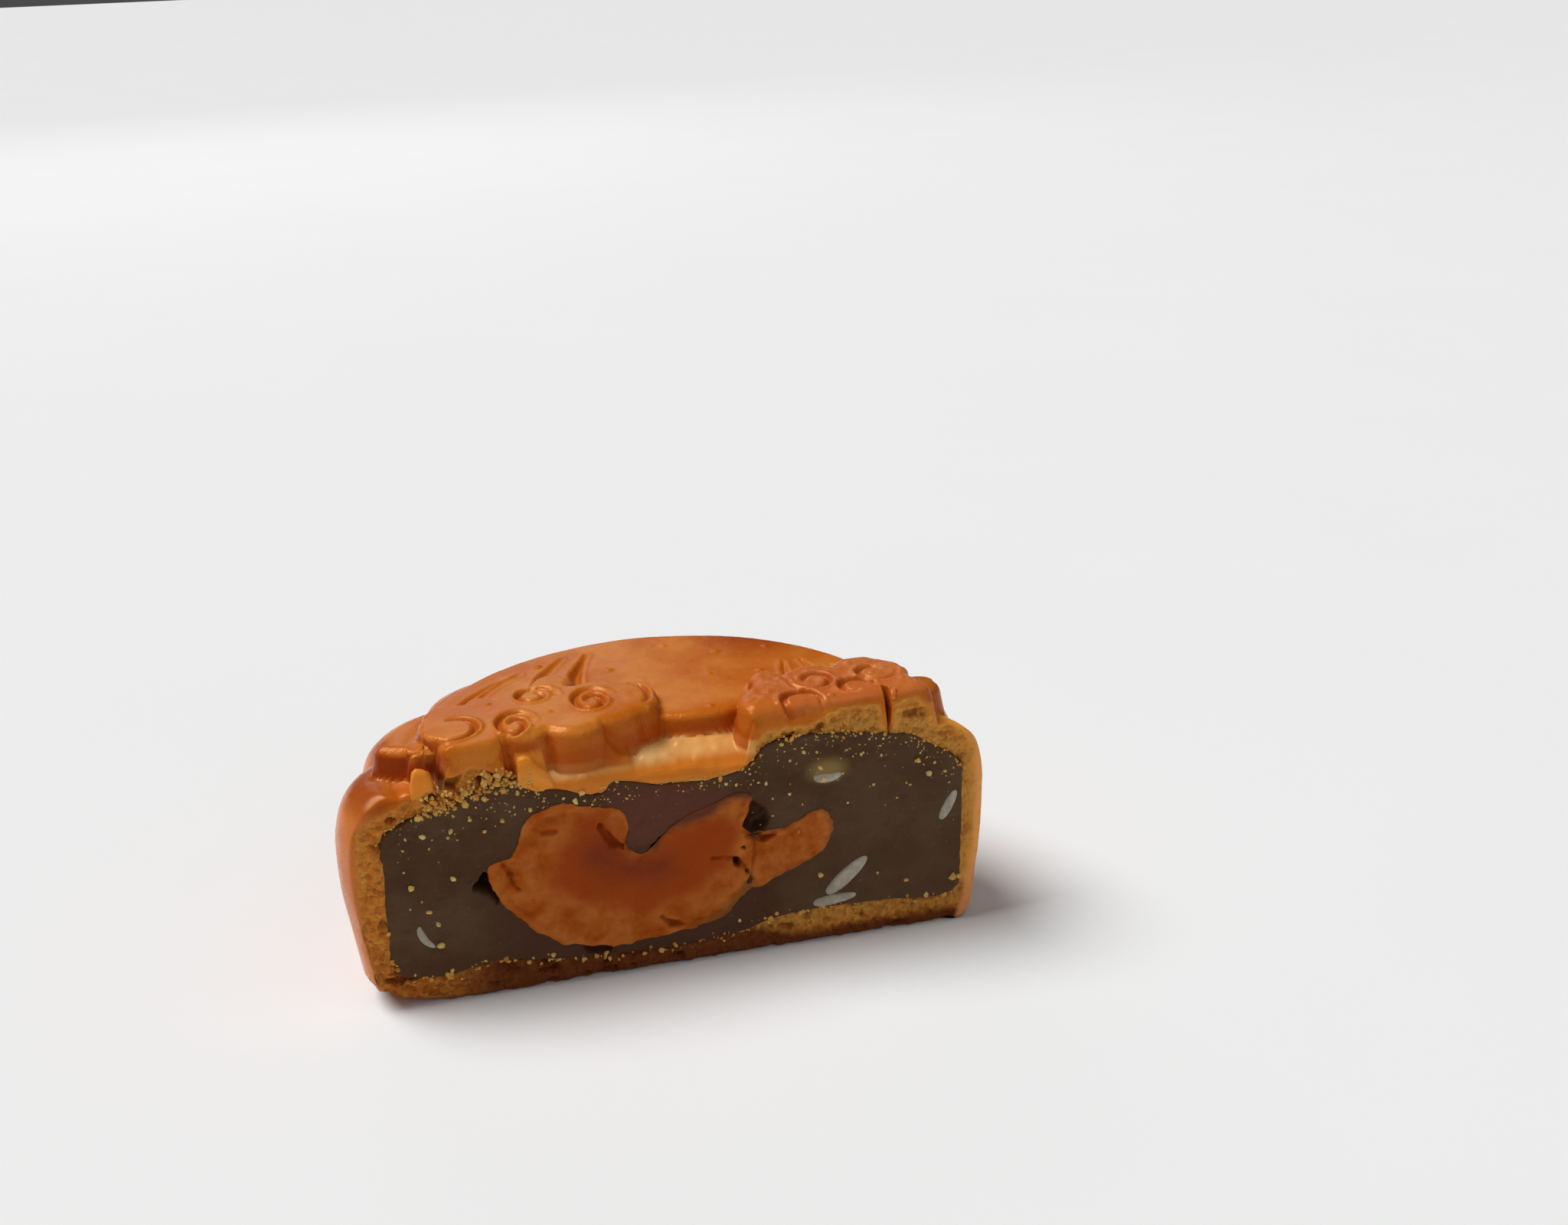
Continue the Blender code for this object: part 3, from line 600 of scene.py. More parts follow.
# Where crumb shows at the cut, in x and z: the skin bends over its edge
crumbOutline = [
    (-29.0, -0.6), (-34.0, 1.0), (-36.9, 3.2), (-38.0, 5.4), (-38.1, 8.0), (-38.0, 15.0), (-37.9, 22.0),
    (-37.5, 24.0), (-36.8, 25.1), (-35.4, 26.0), (-33.5, 26.8), (-31.8, 27.2), (-30.6, 27.4),
    (-29.5, 27.7), (-28.6, 28.3),
    (-27.3, 29.2), (-26.4, 29.5), (-24.7, 29.9), (-24.2, 30.7), (-23.3, 30.8), (-21.5, 30.2), (-20.1, 29.7),
    (-18.9, 29.5), (-18.4, 28.4), (-17.9, 27.3), (-16.5, 26.7), (-14.2, 26.4), (-12.4, 26.0), (-11.0, 25.5),
    (-9.1, 25.2), (-7.9, 25.6), (-7.2, 26.5), (-6.1, 26.5), (-3.7, 25.8), (4.0, 25.3), (8.5, 25.8),
    (10.3, 27.2), (11.2, 29.2), (12.3, 30.5), (13.6, 30.2), (15.2, 30.2), (17.2, 30.4), (18.8, 31.0),
    (19.7, 31.6), (21.1, 32.0), (22.6, 32.1), (24.6, 31.7), (26.2, 32.0), (26.7, 31.5), (26.8, 28.8),
    (27.9, 28.7), (28.3, 31.4), (28.8, 32.2), (31.4, 32.1), (32.6, 30.8), (33.1, 28.8), (33.8, 27.6),
    (35.5, 27.4), (37.3, 26.5), (38.2, 25.6), (38.7, 24.4), (38.9, 22.0), (38.8, 15.0),
    (38.4, 9.0), (37.4, 4.0), (36.6, 1.0), (35.5, -0.6),
]
# The paste's outline at the cut, in x and z: its bottom and its top, both from left to right
pasteBottom = [
    (-34.9, 6.3), (-34.2, 4.7), (-32.8, 4.1), (-28.5, 3.7), (-23.1, 4.6), (-19.0, 4.2), (-12.0, 3.1),
    (0.7, 2.5), (7.4, 3.1), (11.9, 4.3), (17.5, 4.7), (26.3, 4.5), (30.7, 4.0), (34.6, 3.9),
    (36.2, 4.7), (36.7, 6.2),
]
pasteTop = [
    (-34.6, 22.4), (-33.8, 23.8), (-31.5, 24.8), (-29.2, 25.6), (-27.0, 26.0), (-25.1, 26.5), (-23.6, 27.2),
    (-22.4, 27.7), (-20.3, 27.8), (-18.4, 27.6), (-16.1, 26.8), (-14.2, 26.5), (-12.4, 26.1), (-11.0, 25.5),
    (-9.1, 25.0), (-7.9, 25.4), (-7.3, 26.2), (-6.1, 26.3), (-3.7, 25.7), (-1.8, 25.2), (0.5, 25.1),
    (4.6, 24.9), (8.3, 25.5), (10.3, 26.6), (11.9, 28.3), (16.0, 28.9),
    (22.3, 28.4), (27.7, 27.5), (30.4, 27.0), (33.0, 25.4), (35.8, 23.2), (36.9, 21.4),
]
# The filling's round back: its middle in x and z, how far back its rows go as a share, then the depth and
# how much the height shrinks, for the crust's cavity and for the paste; and the paste's swelling at the cut
filling = {"middle": (1.0, 14.5), "end": 0.985, "cavity": (38.3, 0.16), "paste": (37.8, 0.17),
           "swell": 1.012, "swollenAt": 0.55}


def lobeBulge(angle):
    # 0 in a notch and 1 on a crest
    phase = ((angle - mould["notchAngle"]) / (math.tau / mould["lobes"])) % 1.0
    return 1.0 - np.abs(2.0 * phase - 1.0) ** mould["lobeFullness"]


def ringProfile():
    # rows along the rings: a smooth curve through the rings, with the given steps from one to the next
    rings = np.array(wallRings)
    padded = np.vstack([2 * rings[0] - rings[1], rings, 2 * rings[-1] - rings[-2]])
    rows = []
    for k, steps in enumerate(crustGrid["ringRows"]):
        rows.append(smoothSpan(*padded[k:k + 4], np.linspace(0.0, 1.0, steps, endpoint=False)[:, None]))
    rows = np.vstack(rows + [rings[-1:]])
    rows[:, 2] = np.maximum(rows[:, 2], 0.0)
    return rows


def crumbRelief(p):
    # how deep the broken crumb lies: rounded grains, with a few pits and cracks between them
    grains = np.clip(grainDistance(p, 0.95, 31), 0.0, 1.0)
    fine = np.clip(grainDistance(p, 0.5, 37), 0.0, 1.0)
    flat = p * np.array([0.55, 1.0, 1.0])
    pits = ease((layeredNoise(flat, 1.3, 2, 41) - 0.30) / 0.25)
    return 0.36 * grains ** 1.5 + 0.18 * fine + 0.6 * pits + 0.25 * layeredNoise(p, 3.2, 2, 45), pits


def wornHeight(x, y):
    # how high the underside is worn off at the cut's lower left corner
    share = np.clip(1.0 - (y + cake["cutOffset"]) / 9.0, 0.0, 1.0) ** 0.8
    return np.interp(x, wornCorner["x"], wornCorner["z"]) * share


def steepness(grid):
    # 0 where the surface of a grid lies level and 1 where it stands upright
    normal = np.cross(np.gradient(grid, axis=0), np.gradient(grid, axis=1))
    return 1.0 - np.abs(normal[..., 2]) / np.maximum(np.linalg.norm(normal, axis=-1), 1e-9)


def roundBack(edge, cut, rows, back):
    # an edge at the cut carried back into the cake in rows, narrowing as the filling's round back does
    middleX, middleZ = filling["middle"]
    depth, shrinking = back
    share = np.linspace(0.0, filling["end"], rows + 1)[1:, None]
    return onCut(middleX + (edge[:, 0] - middleX) * np.sqrt(1.0 - share ** 2),
                 middleZ + (edge[:, 2] - middleZ) * (1.0 - shrinking * share ** 3),
                 edge[:, 1] * (1.0 - share) + (cut + depth * share) * share)


def moulded(x, y, z):
    # the moulded height of a grid of points, and its marks
    height, marks = mouldedHeight(x.ravel(), y.ravel(), z.ravel())
    return height.reshape(x.shape), {name: values.reshape(x.shape) for name, values in marks.items()}


def makeCrust():
    columns, topRows = crustGrid["columns"], crustGrid["topRows"]
    s = np.linspace(0.0, 1.0, columns + 1)
    cut = -cake["cutOffset"]
    ring = ringProfile()

    # rings: the angle runs from the cut plane on the right round the back to the cut plane on the left
    crest, notch, height = ring.T[:, :, None]
    radius = crest + np.zeros(columns + 1)
    for turn in range(12):
        start = -np.arcsin(cake["cutOffset"] / radius[:, :1])
        stop = math.pi + np.arcsin(cake["cutOffset"] / radius[:, -1:])
        angle = start + (stop - start) * s
        radius = notch + (crest - notch) * lobeBulge(angle)
    outerX, outerY = radius * np.cos(angle), radius * np.sin(angle)
    outerY[:, [0, -1]] = cut
    outerZ = height + np.zeros_like(angle)

    # top: straight lines from evenly spaced points on the cut to the first ring
    lift = (np.linspace(0.0, 1.0, topRows + 1) ** 1.22)[:, None]
    topX = outerX[0, 0] * (1.0 - 2.0 * s) * (1.0 - lift) + outerX[0] * lift
    topY = cut * (1.0 - lift) + outerY[0] * lift
    outlines = edges["clouds"] + edges["tails"]
    along = ease((1.0 - lift) * 12.0)
    x, y = gathered(topX, topY, outlines + [edges["recess"]], along, ease(lift * 8.0) * along)
    topZ, topMarks = moulded(x, y, np.full(x.shape, mould["platform"]))
    top = np.stack([x, y, topZ], -1)

    # the pattern also runs over the rings, fading out below the rim
    onTop = ease((outerZ - 25.5) / 2.0)
    keepEnds = np.ones(columns + 1)
    keepEnds[[0, -1]] = 0.0
    x, y = gathered(outerX, outerY, outlines, onTop, onTop * keepEnds)
    ringZ, ringMarks = moulded(x, y, outerZ)
    rings = np.stack([x, y, outerZ + (ringZ - outerZ) * onTop], -1)
    top[-1] = rings[0]
    top[:, [0, -1]] = rings[0, [0, -1]]

    # the wall is gently uneven, and its lower left corner at the cut is worn off
    uneven = 0.22 * noise(rings, 9.0, 51) + 0.08 * noise(rings, 3.0, 52) + 0.03 * noise(rings, 1.0, 53)
    uneven = uneven * (1.0 - onTop)
    rings[..., 0] += np.cos(angle) * uneven
    rings[..., 1] += np.sin(angle) * uneven * keepEnds
    worn = np.maximum(wornHeight(rings[..., 0], rings[..., 1]) - rings[..., 2], 0.0)
    rings[..., 2] += worn
    rings[..., 0] += worn * 0.12 * (1.0 + noise(rings, 1.1, 55))

    # base: from the last ring to the front edge
    forward = np.linspace(0.0, 1.0, crustGrid["baseRows"] + 1)[1:, None]
    edge = rings[-1]
    frontX = edge[0, 0] + (edge[-1, 0] - edge[0, 0]) * s
    baseX = edge[:, 0] * (1.0 - forward) + frontX * forward
    baseY = edge[:, 1] * (1.0 - forward) + cut * forward
    base = np.concatenate([edge[None], np.stack([baseX, baseY, wornHeight(baseX, baseY)], -1)])

    # outer edge of the cut: along the top from right to left, down the left side, back along the base, up
    outer = np.concatenate([top[0], rings[1:, -1], base[1:, -1], base[-1, ::-1][1:], base[1:-1, 0][::-1],
                            rings[1:, 0][::-1]])
    upper = throughPoints(pasteTop, 260)
    inner = np.vstack([upper[::-1], throughPoints(pasteBottom, 200), upper[-1:]])
    run = runAlong(inner)
    ox, oz = outer[:, 0], outer[:, 2]
    count = len(outer)
    topEnd = columns + 1
    ringsEnd = topEnd + len(ring) - 1
    leftBase = ringsEnd + crustGrid["baseRows"] - 1
    rightBase = leftBase + columns

    def innerAt(x, z):
        return run[np.argmin((inner[:, 0] - x) ** 2 + (inner[:, 1] - z) ** 2)]

    rimRow = int(np.argmin(np.abs(ring[:, 2] - 26.6) + 9.0 * (ring[:, 0] < 34)))
    footRow = int(np.argmin(np.abs(ring[:, 2] - 4.0)))
    # spots on the outer edge and the spots on the inner edge that they are joined to
    anchors = [
        (topEnd - 1, innerAt(-28.6, 25.6)), (topEnd + rimRow, innerAt(-34.0, 23.6)),
        (topEnd + footRow, innerAt(-34.9, 6.5)), (leftBase, innerAt(-33.4, 4.2)),
        (rightBase, innerAt(34.6, 4.0)), (count - footRow, innerAt(36.7, 6.2)),
        (count - rimRow, run[-1] + innerAt(36.4, 22.6)), (count, run[-1] + innerAt(28.6, 27.3)),
    ]
    outerRun = runAlong(outer[:, [0, 2]])
    outerRun = np.append(outerRun, outerRun[-1] + 0.1)
    target = np.zeros(count)
    target[:topEnd] = np.interp(-ox[:topEnd], -inner[:len(upper), 0], run[:len(upper)])
    for (i, a), (j, b) in zip(anchors, anchors[1:]):
        inside = np.arange(i, min(j, count))
        share = (outerRun[inside] - outerRun[i]) / (outerRun[j] - outerRun[i])
        target[inside] = a + (b - a) * share
    target %= run[-1]
    innerX, innerZ = np.interp(target, run, inner[:, 0]), np.interp(target, run, inner[:, 1])

    share = np.linspace(0.0, 1.0, crustGrid["bandRows"] + 1)[:, None] ** 1.25
    bandX, bandZ = ox * (1.0 - share) + innerX * share, oz * (1.0 - share) + innerZ * share
    band = onCut(bandX, bandZ, cut)
    depthIn = share * np.hypot(ox - innerX, oz - innerZ)
    within = edgeDistance(bandX.ravel(), bandZ.ravel(), np.array(crumbOutline))[0].reshape(bandX.shape)
    within = within + 0.22 * noise(band, 0.9, 57) + 0.25 * noise(band, 2.2, 58)
    broken = ease((within + 0.1) / 0.5)
    relief, pits = crumbRelief(band)
    # deeper crumb relief joins the pits, which the finish darkens as painted shade
    pits = np.maximum(pits, 0.8 * ease((relief - 0.28) / 0.4))
    glazed = ease((bandX + 18.8) / 0.6) * ease((11.5 - bandX) / 1.5) * ease(bandZ - 20.0)
    crag = ease((bandX + 30.0) / 2.0) * ease((-17.5 - bandX) / 1.0) * ease(bandZ - 20.0)
    relief = relief * (1.0 + 0.6 * ease((6.0 - bandZ) / 2.0) + 0.8 * crag)
    relief = relief * broken * (1.0 - 0.8 * glazed) + 0.10 * noise(band, 2.0, 59) * (1.0 - broken)
    relief = relief - 0.25 * glazed * np.sin(math.pi * share) * (1.0 - share)
    # the base's edge is even, and the edge of the skin is rounded off
    relief = relief * (1.0 - 0.7 * bell(depthIn / 0.6) * ease((4.0 - bandZ) / 2.0))
    bevel = 0.2 + 0.3 * broken
    relief = relief + bevel * bell(depthIn / 0.45) * (1.0 + 0.5 * noise(band, 1.3, 61))
    band[..., 1] = cut + np.clip(relief, -0.35, 1.3)
    band[..., 2] += 0.16 * noise(band, 0.8, 65) * np.sin(math.pi * np.clip(share * 1.02, 0, 1))
    band[-1, :, 2] += 0.25 * noise(band[-1], 0.9, 66) + 0.2 * noise(band[-1], 2.5, 67)

    def fading(grid):
        # how much of the cut's ragged edge is left in the rows behind it
        return np.exp(-np.maximum(grid[1:, :, 1] - cut, 0.0) / 1.4)

    # the top and the rings meet the ragged edge of the cut
    top[0, :, 1] = band[0, :topEnd, 1]
    top[1:, :, 1] += (top[0, :, 1] - cut) * fading(top) * ease((1.0 - lift[1:]) * 8.0)
    rings[1:, -1, 1] = band[0, topEnd:ringsEnd, 1]
    base[1:, -1] = band[0, ringsEnd:ringsEnd + crustGrid["baseRows"]]
    base[-1, ::-1] = band[0, leftBase:rightBase + 1]
    base[1:-1, 0] = band[0, rightBase + 1:rightBase + crustGrid["baseRows"]][::-1]
    rings[1:, 0, 1] = band[0, count - len(ring) + 1:, 1][::-1]
    for end, side in ((0, 1.0), (-1, -1.0)):
        setBack = (rings[1:, end, 1] - cut)[:, None] * fading(rings)
        setBack[:, end] = 0.0
        rings[1:, :, 1] += setBack * (rings[1:, :, 0] * side > 0.0)
    base[0] = rings[-1]
    top[:, 0] = rings[0, 0] = band[0, 0]
    top[:, -1] = rings[0, -1] = band[0, topEnd - 1]
    top[-1] = rings[0]

    # one numbered list of points; the last one closes the cavity
    cavity = roundBack(band[-1], cut, crustGrid["cavityRows"], filling["cavity"])
    parts = [top, rings, base, wrapped(band), wrapped(cavity)]
    numbers, total = [], 0
    for part in parts:
        numbers.append(numberGrid(part.shape, total))
        total += numbers[-1].size
    points = np.vstack([part.reshape(-1, 3) for part in parts] + [cavity[-1].mean(0)[None]])
    joined = np.concatenate([numbers[3][-1:], numbers[4]])
    faces = np.vstack([gridFaces(n) for n in (*numbers[:4], joined)] + [fanFaces(numbers[4][-1], total)])

    # marks for the finish: how deep or proud a spot is against its neighbours, and what it belongs to
    def against(z, reach):
        # z less its mean over the square around each point
        summed = np.cumsum(np.cumsum(np.pad(z, reach, mode='edge'), 0), 1)
        summed = np.pad(summed, ((1, 0), (1, 0)))
        n = 2 * reach + 1
        return z - (summed[n:, n:] - summed[:-n, n:] - summed[n:, :-n] + summed[:-n, :-n]) / n ** 2

    def marked(*values):
        # a mark from its values on the top, the rings, the base, the band and the cavity
        result = np.zeros(total + 1)
        for number, value in zip(numbers, values):
            result[number] = value
        return result

    unbentTop, unbentRings = top.copy(), rings.copy()
    unbentTop[..., 2] += topMarks["bent"]
    unbentRings[..., 2] += ringMarks["bent"] * onTop
    lobeProud = against(np.hypot(rings[..., 0], rings[..., 1]), 6)
    ringProud = against(rings[..., 2], 2) * onTop * 0.5 + lobeProud * 0.5 * (1 - onTop)
    toothed = sum(ease((bandX - t["x"][0]) / 0.4) * ease((t["x"][-1] - bandX) / 0.4) for t in teeth)
    gilded = toothed * (1.0 - broken) * ease((31.4 - bandZ) / 0.4) * ease(bandZ - 20.0)
    marks = {
        # how proud a spot is: the finish paints shade in its valleys and highlight on its crests
        "proud": np.clip(marked(against(top[..., 2], 5), ringProud), -2.0, 2.0),
        # how steep a spot is: the finish paints shade on steep sides
        "steep": marked(steepness(unbentTop), steepness(unbentRings) * onTop),
        "crumb": marked(0.0, ease((worn + 0.3 * noise(rings, 1.0, 68) - 0.2) / 0.5),
                        ease(base[..., 2] / 0.8), wrapped(broken), 1.0),
        "pit": marked(0.0, 0.0, 0.0, wrapped(pits)),
        "golden": marked(0.0, 0.0, 0.0, wrapped(bell((within - 0.25) / 0.55))),
        "under": marked(0.0, ease((2.0 - rings[..., 2]) / 2.0), 1.0),
        "depth": marked(0.0, 0.0, 0.0, share, 1.0),
    }
    # the sunken floor and the teeth keep their looks on the cut
    onBand = {"recess": wrapped(glazed), "gilt": wrapped(gilded)}
    for name in ("recess", "cloud", "scroll", "lip", "gilt", "gapShadow"):
        marks[name] = marked(topMarks[name], ringMarks[name] * onTop, 0.0, onBand.get(name, 0.0))
    points[:, 1] += axisY
    return meshFrom("crustSkin", points, faces, marks, crustMaterial())


def crustMaterial():
    tones = {
        "glaze": (0.54, 0.122, 0.006), "glazePale": (0.62, 0.19, 0.022), "glazeDark": (0.26, 0.034, 0.003),
        "front": (0.43, 0.070, 0.003), "tailFrontShade": (0.27, 0.024, 0.002), "far": (0.31, 0.040, 0.001),
        "grooveShade": (0.40, 0.070, 0.003), "red": (0.56, 0.145, 0.040), "gold": (0.76, 0.37, 0.105),
        "paleGold": (0.84, 0.50, 0.19), "bendShade": (0.66, 0.19, 0.018), "goldRim": (0.80, 0.36, 0.060),
        "rimGoldPaintedLight": (1.0, 0.42, 0.055), "wall": (0.62, 0.175, 0.036), "wallPaintedSheen": (0.72, 0.26, 0.095),
        "wallPale": (0.82, 0.35, 0.095), "crumb": (0.66, 0.21, 0.027), "crumbOlive": (0.60, 0.27, 0.050),
        "crumbDark": (0.20, 0.038, 0.006), "base": (0.125, 0.023, 0.007), "gapShadow": (0.07, 0.012, 0.001),
        "tooth": (0.82, 0.27, 0.026), "crumbLow": (0.44, 0.115, 0.010),
    }
    material, tree, shader = newMaterial(
        "bakedCrust", Roughness=0.3, Subsurface_Weight=0.10, Subsurface_Scale=0.0012,
        Subsurface_Radius=(1.0, 0.4, 0.15), IOR=1.45, Specular_IOR_Level=0.5,
        Specular_Tint=(1.0, 0.5, 0.2, 1.0),
    )
    where = place(tree)
    broad, fine = mottle(tree, where, 9.0, 2.0), mottle(tree, where, 1.6, 4.0)
    at = addNode(tree, "SeparateXYZ", {0: where}).outputs
    proud, steep = mark(tree, "proud"), mark(tree, "steep")
    # the outer wall is paler to the right and pinker towards its foot, where the pink is a painted sheen
    side = layered(tree, tones, tones["wall"], [
        (spread(tree, at[0], 28.0, 36.0), "wallPale"),
        (spread(tree, at[2], 12.0, 4.0, (0.0, 0.7)), "wallPaintedSheen"),
    ])
    # the darker tones that steep sides get as painted shade, darkest on the left tail's front
    front = blendColours(tree, spread(tree, at[0], -24.0, -28.0), tones["front"], tones["tailFrontShade"])
    # the sunken floor is pale gold, and turns darker orange where it bends over to the cut, as painted shade
    floorTone = layered(tree, tones, tones["gold"], [
        (spread(tree, broad, 0.42, 0.62), "paleGold"),
        (spread(tree, at[2], 28.1, 27.0), "bendShade"),
    ])
    lowDown = sums(tree, 'ADD', at[2], spread(tree, fine, 0.3, 0.7, (-0.2, 0.2)))
    lowDown = spread(tree, lowDown, 29.4, 28.9)
    level = spread(tree, steep, 0.6, 0.25, (0.15, 1.0))
    level = sums(tree, 'MAXIMUM', level, spread(tree, at[2], 28.3, 27.6))
    skin = layered(tree, tones, tones["glaze"], [
        (spread(tree, broad, 0.40, 0.68), "glazePale"),
        (spread(tree, fine, 0.56, 0.74, (0.0, 0.25)), "glazePale"),
        # the far right of the moon is darker, and the left rim is darkened as painted shade
        (product(tree, spread(tree, at[0], 6.0, 18.0), spread(tree, at[1], -4.0, 9.0)), "far"),
        (spread(tree, at[0], -31.0, -35.0, (0.0, 0.65)), "glazeDark"),
        # the right tail's top, the wall with its painted sheen, the right cloud, and the rim on the right,
        # pale gold and brightened further by painted light
        (product(tree, spread(tree, at[0], 30.5, 32.5, (0.0, 0.4)), spread(tree, at[2], 30.6, 31.4)),
         "glazeDark"),
        (spread(tree, at[2], 25.0, 27.5, (1.0, 0.0)), side),
        (product(tree, spread(tree, at[0], 8.0, 18.0, (0.0, 0.6)), mark(tree, "cloud")), "red"),
        (product(tree, spread(tree, at[0], 33.0, 36.5, (0.0, 0.9)), spread(tree, at[2], 25.0, 27.0),
                 spread(tree, at[2], 30.2, 29.0), spread(tree, at[1], -9.0, -15.0)), "rimGoldPaintedLight"),
        # painted shade in valleys, on steep sides and in the scroll grooves, painted highlight on crests, and
        # painted shadow in the gap
        (product(tree, spread(tree, proud, -0.05, -0.9), 0.3), "glazeDark"),
        (spread(tree, steep, 0.25, 0.8, (0.0, 0.9)), front),
        # the scroll grooves are darkened to amber as painted shade
        (spread(tree, mark(tree, "scroll"), 0.1, 0.8, (0.0, 0.85)), "grooveShade"),
        (spread(tree, proud, 0.12, 0.6, (0.0, 0.4)), "glazePale"),
        (mark(tree, "gapShadow"), "gapShadow"),
        (product(tree, mark(tree, "recess"), lowDown, 0.95, level), floorTone),
        (product(tree, mark(tree, "gilt"), 0.9), "tooth"),
        (product(tree, mark(tree, "under"), 0.85), "base"),
    ])
    grain = mottle(tree, where, 0.8, 4.0, 0.6)
    grainMiddle, grainTone = cells(tree, wobbled(tree, where, 0.5, 0.15), 0.62)
    olive = sums(tree, 'ADD', mark(tree, "depth"), spread(tree, at[0], -34.0, 10.0, (-0.35, 0.15)))
    # the crumb is darker towards the bottom of the cut
    overBottom = sums(tree, 'SUBTRACT', at[2], spread(tree, at[0], 4.0, 16.0, (5.2, 2.0)))
    rim = product(tree, mark(tree, "golden"), spread(tree, at[0], -30.0, 12.0, (0.35, 0.85)),
                  spread(tree, at[2], 3.0, 9.0))
    crumb = layered(tree, tones, tones["crumb"], [
        (spread(tree, olive, 0.35, 0.85), "crumbOlive"),
        (product(tree, spread(tree, at[0], -26.0, -32.0), spread(tree, at[2], 13.0, 6.0, (0.0, 0.8))),
         "crumbLow"),
        (spread(tree, grain, 0.52, 0.30, (0.0, 0.45)), "crumbDark"),
        (spread(tree, grain, 0.55, 0.75, (0.0, 0.4)), "goldRim"),
        (spread(tree, grainTone, 0.55, 1.0, (0.0, 0.45)), "goldRim"),
        (spread(tree, grainTone, 0.4, 0.0, (0.0, 0.45)), "crumbDark"),
        # pits and deep crumb are darkened as painted shade
        (product(tree, mark(tree, "pit"), 0.75), "crumbDark"),
        (product(tree, spread(tree, overBottom, 0.3, -1.2), spread(tree, at[0], -31.0, -22.0, (0.15, 0.92))),
         "base"),
        (rim, "goldRim"),
    ])
    onRight = spread(tree, at[0], 31.0, 34.0, (0.15, 0.6))
    skin = blendColours(tree, product(tree, rim, onRight), skin, tones["goldRim"])
    colour = blendColours(tree, mark(tree, "crumb"), skin, crumb)
    tree.links.new(colour, shader.inputs["Base Color"])
    dull = spread(tree, mark(tree, "crumb"), 0.0, 1.0, (0.27, 0.7))
    dull = sums(tree, 'ADD', dull, spread(tree, fine, 0.3, 0.7, (-0.04, 0.06)))
    tree.links.new(dull, shader.inputs["Roughness"])
    bubbly = product(tree, mottle(tree, where, 0.28, 2.0), mark(tree, "lip"))
    ripple = bump(tree, shader, mottle(tree, where, 0.9, 4.0, 0.6), 0.05, 0.5)
    ripple = bump(tree, shader, bubbly, 0.12, 0.7, ripple)
    rough = mottle(tree, where, 0.32, 3.0, 0.65)
    rough = sums(tree, 'ADD', rough, spread(tree, grainMiddle, 0.0, 0.7, (0.8, 0.0)))
    bump(tree, shader, product(tree, rough, mark(tree, "crumb")), 0.26, 0.9, ripple)
    return material


crustSkin = makeCrust()
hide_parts("crust")
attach(crustSkin, "root")
print("crust done")

# The yolk's outlines at the cut, in x and z
yolk = {
    "outline": [
        (-22.6, 17.2), (-21.0, 18.1), (-19.6, 18.3), (-18.7, 19.6), (-18.0, 22.2), (-17.1, 23.5),
        (-15.4, 24.1), (-13.8, 24.3), (-11.2, 23.8), (-9.3, 23.2), (-7.3, 22.7), (-6.0, 21.8),
        (-5.5, 20.3), (-5.9, 18.8), (-6.0, 17.4), (-5.1, 16.3), (-3.7, 16.1), (-2.4, 17.0),
        (-0.8, 18.9), (2.3, 20.7), (5.2, 21.6), (7.6, 22.5), (9.4, 22.2), (9.7, 21.0), (8.8, 19.3),
        (8.4, 17.8), (9.2, 16.9), (10.2, 16.3), (10.6, 15.0), (10.5, 13.2),
        (10.1, 11.3), (8.9, 9.2), (6.8, 7.1), (4.7, 5.6), (0.7, 4.8), (-1.6, 4.6), (-5.3, 4.4), (-6.4, 4.1),
        (-9.2, 4.5), (-12.5, 5.2), (-14.4, 5.5), (-15.7, 6.7), (-17.8, 8.3), (-19.1, 9.8), (-20.8, 11.4),
        (-21.8, 13.6), (-22.5, 15.4)],
    "centre": (-7.5, 12.6), "depth": 15.0, "rings": 58, "columns": 400,
}
fragment = {
    "outline": [
        (9.3, 15.9), (10.3, 16.6), (12.3, 16.7), (14.2, 17.1), (16.1, 17.8), (17.6, 18.6), (19.2, 18.4),
        (19.8, 17.1), (19.8, 15.3), (18.6, 13.3), (16.2, 11.8), (12.4, 10.3), (10.4, 9.3), (9.1, 9.7),
        (8.9, 11.2), (9.1, 13.5)],
    "centre": (14.0, 14.0), "depth": 6.0, "rings": 26, "columns": 190,
}
# where the cut yolk changes its colour, in x and z
yolkParts = {
    "core": [(-11.2, 16.2), (-10.2, 18.3), (-8.2, 18.5), (-6.2, 16.3), (-3.5, 15.5), (-1.3, 15.7),
             (-0.2, 13.7), (-2.5, 12.5), (-6.4, 13.2), (-9.6, 14.4)],
    "red": [(-15.4, 14.1), (-14.3, 18.2), (-11.9, 20.9), (-10.4, 22.5), (-8.6, 21.8), (-7.2, 18.6),
            (-5.6, 16.5), (-3.5, 16.1), (-1.1, 18.5), (2.3, 19.5), (5.9, 19.5), (7.8, 17.0),
            (7.1, 14.0), (4.7, 11.6), (1.8, 9.6), (-3.9, 8.4), (-10.7, 10.8), (-13.9, 12.3)],
    "filmEdge": [(-4.0, 17.0), (-2.3, 17.1), (-0.5, 19.0), (2.3, 20.1), (5.2, 20.8), (7.4, 21.7),
                 (9.4, 21.8)],
}
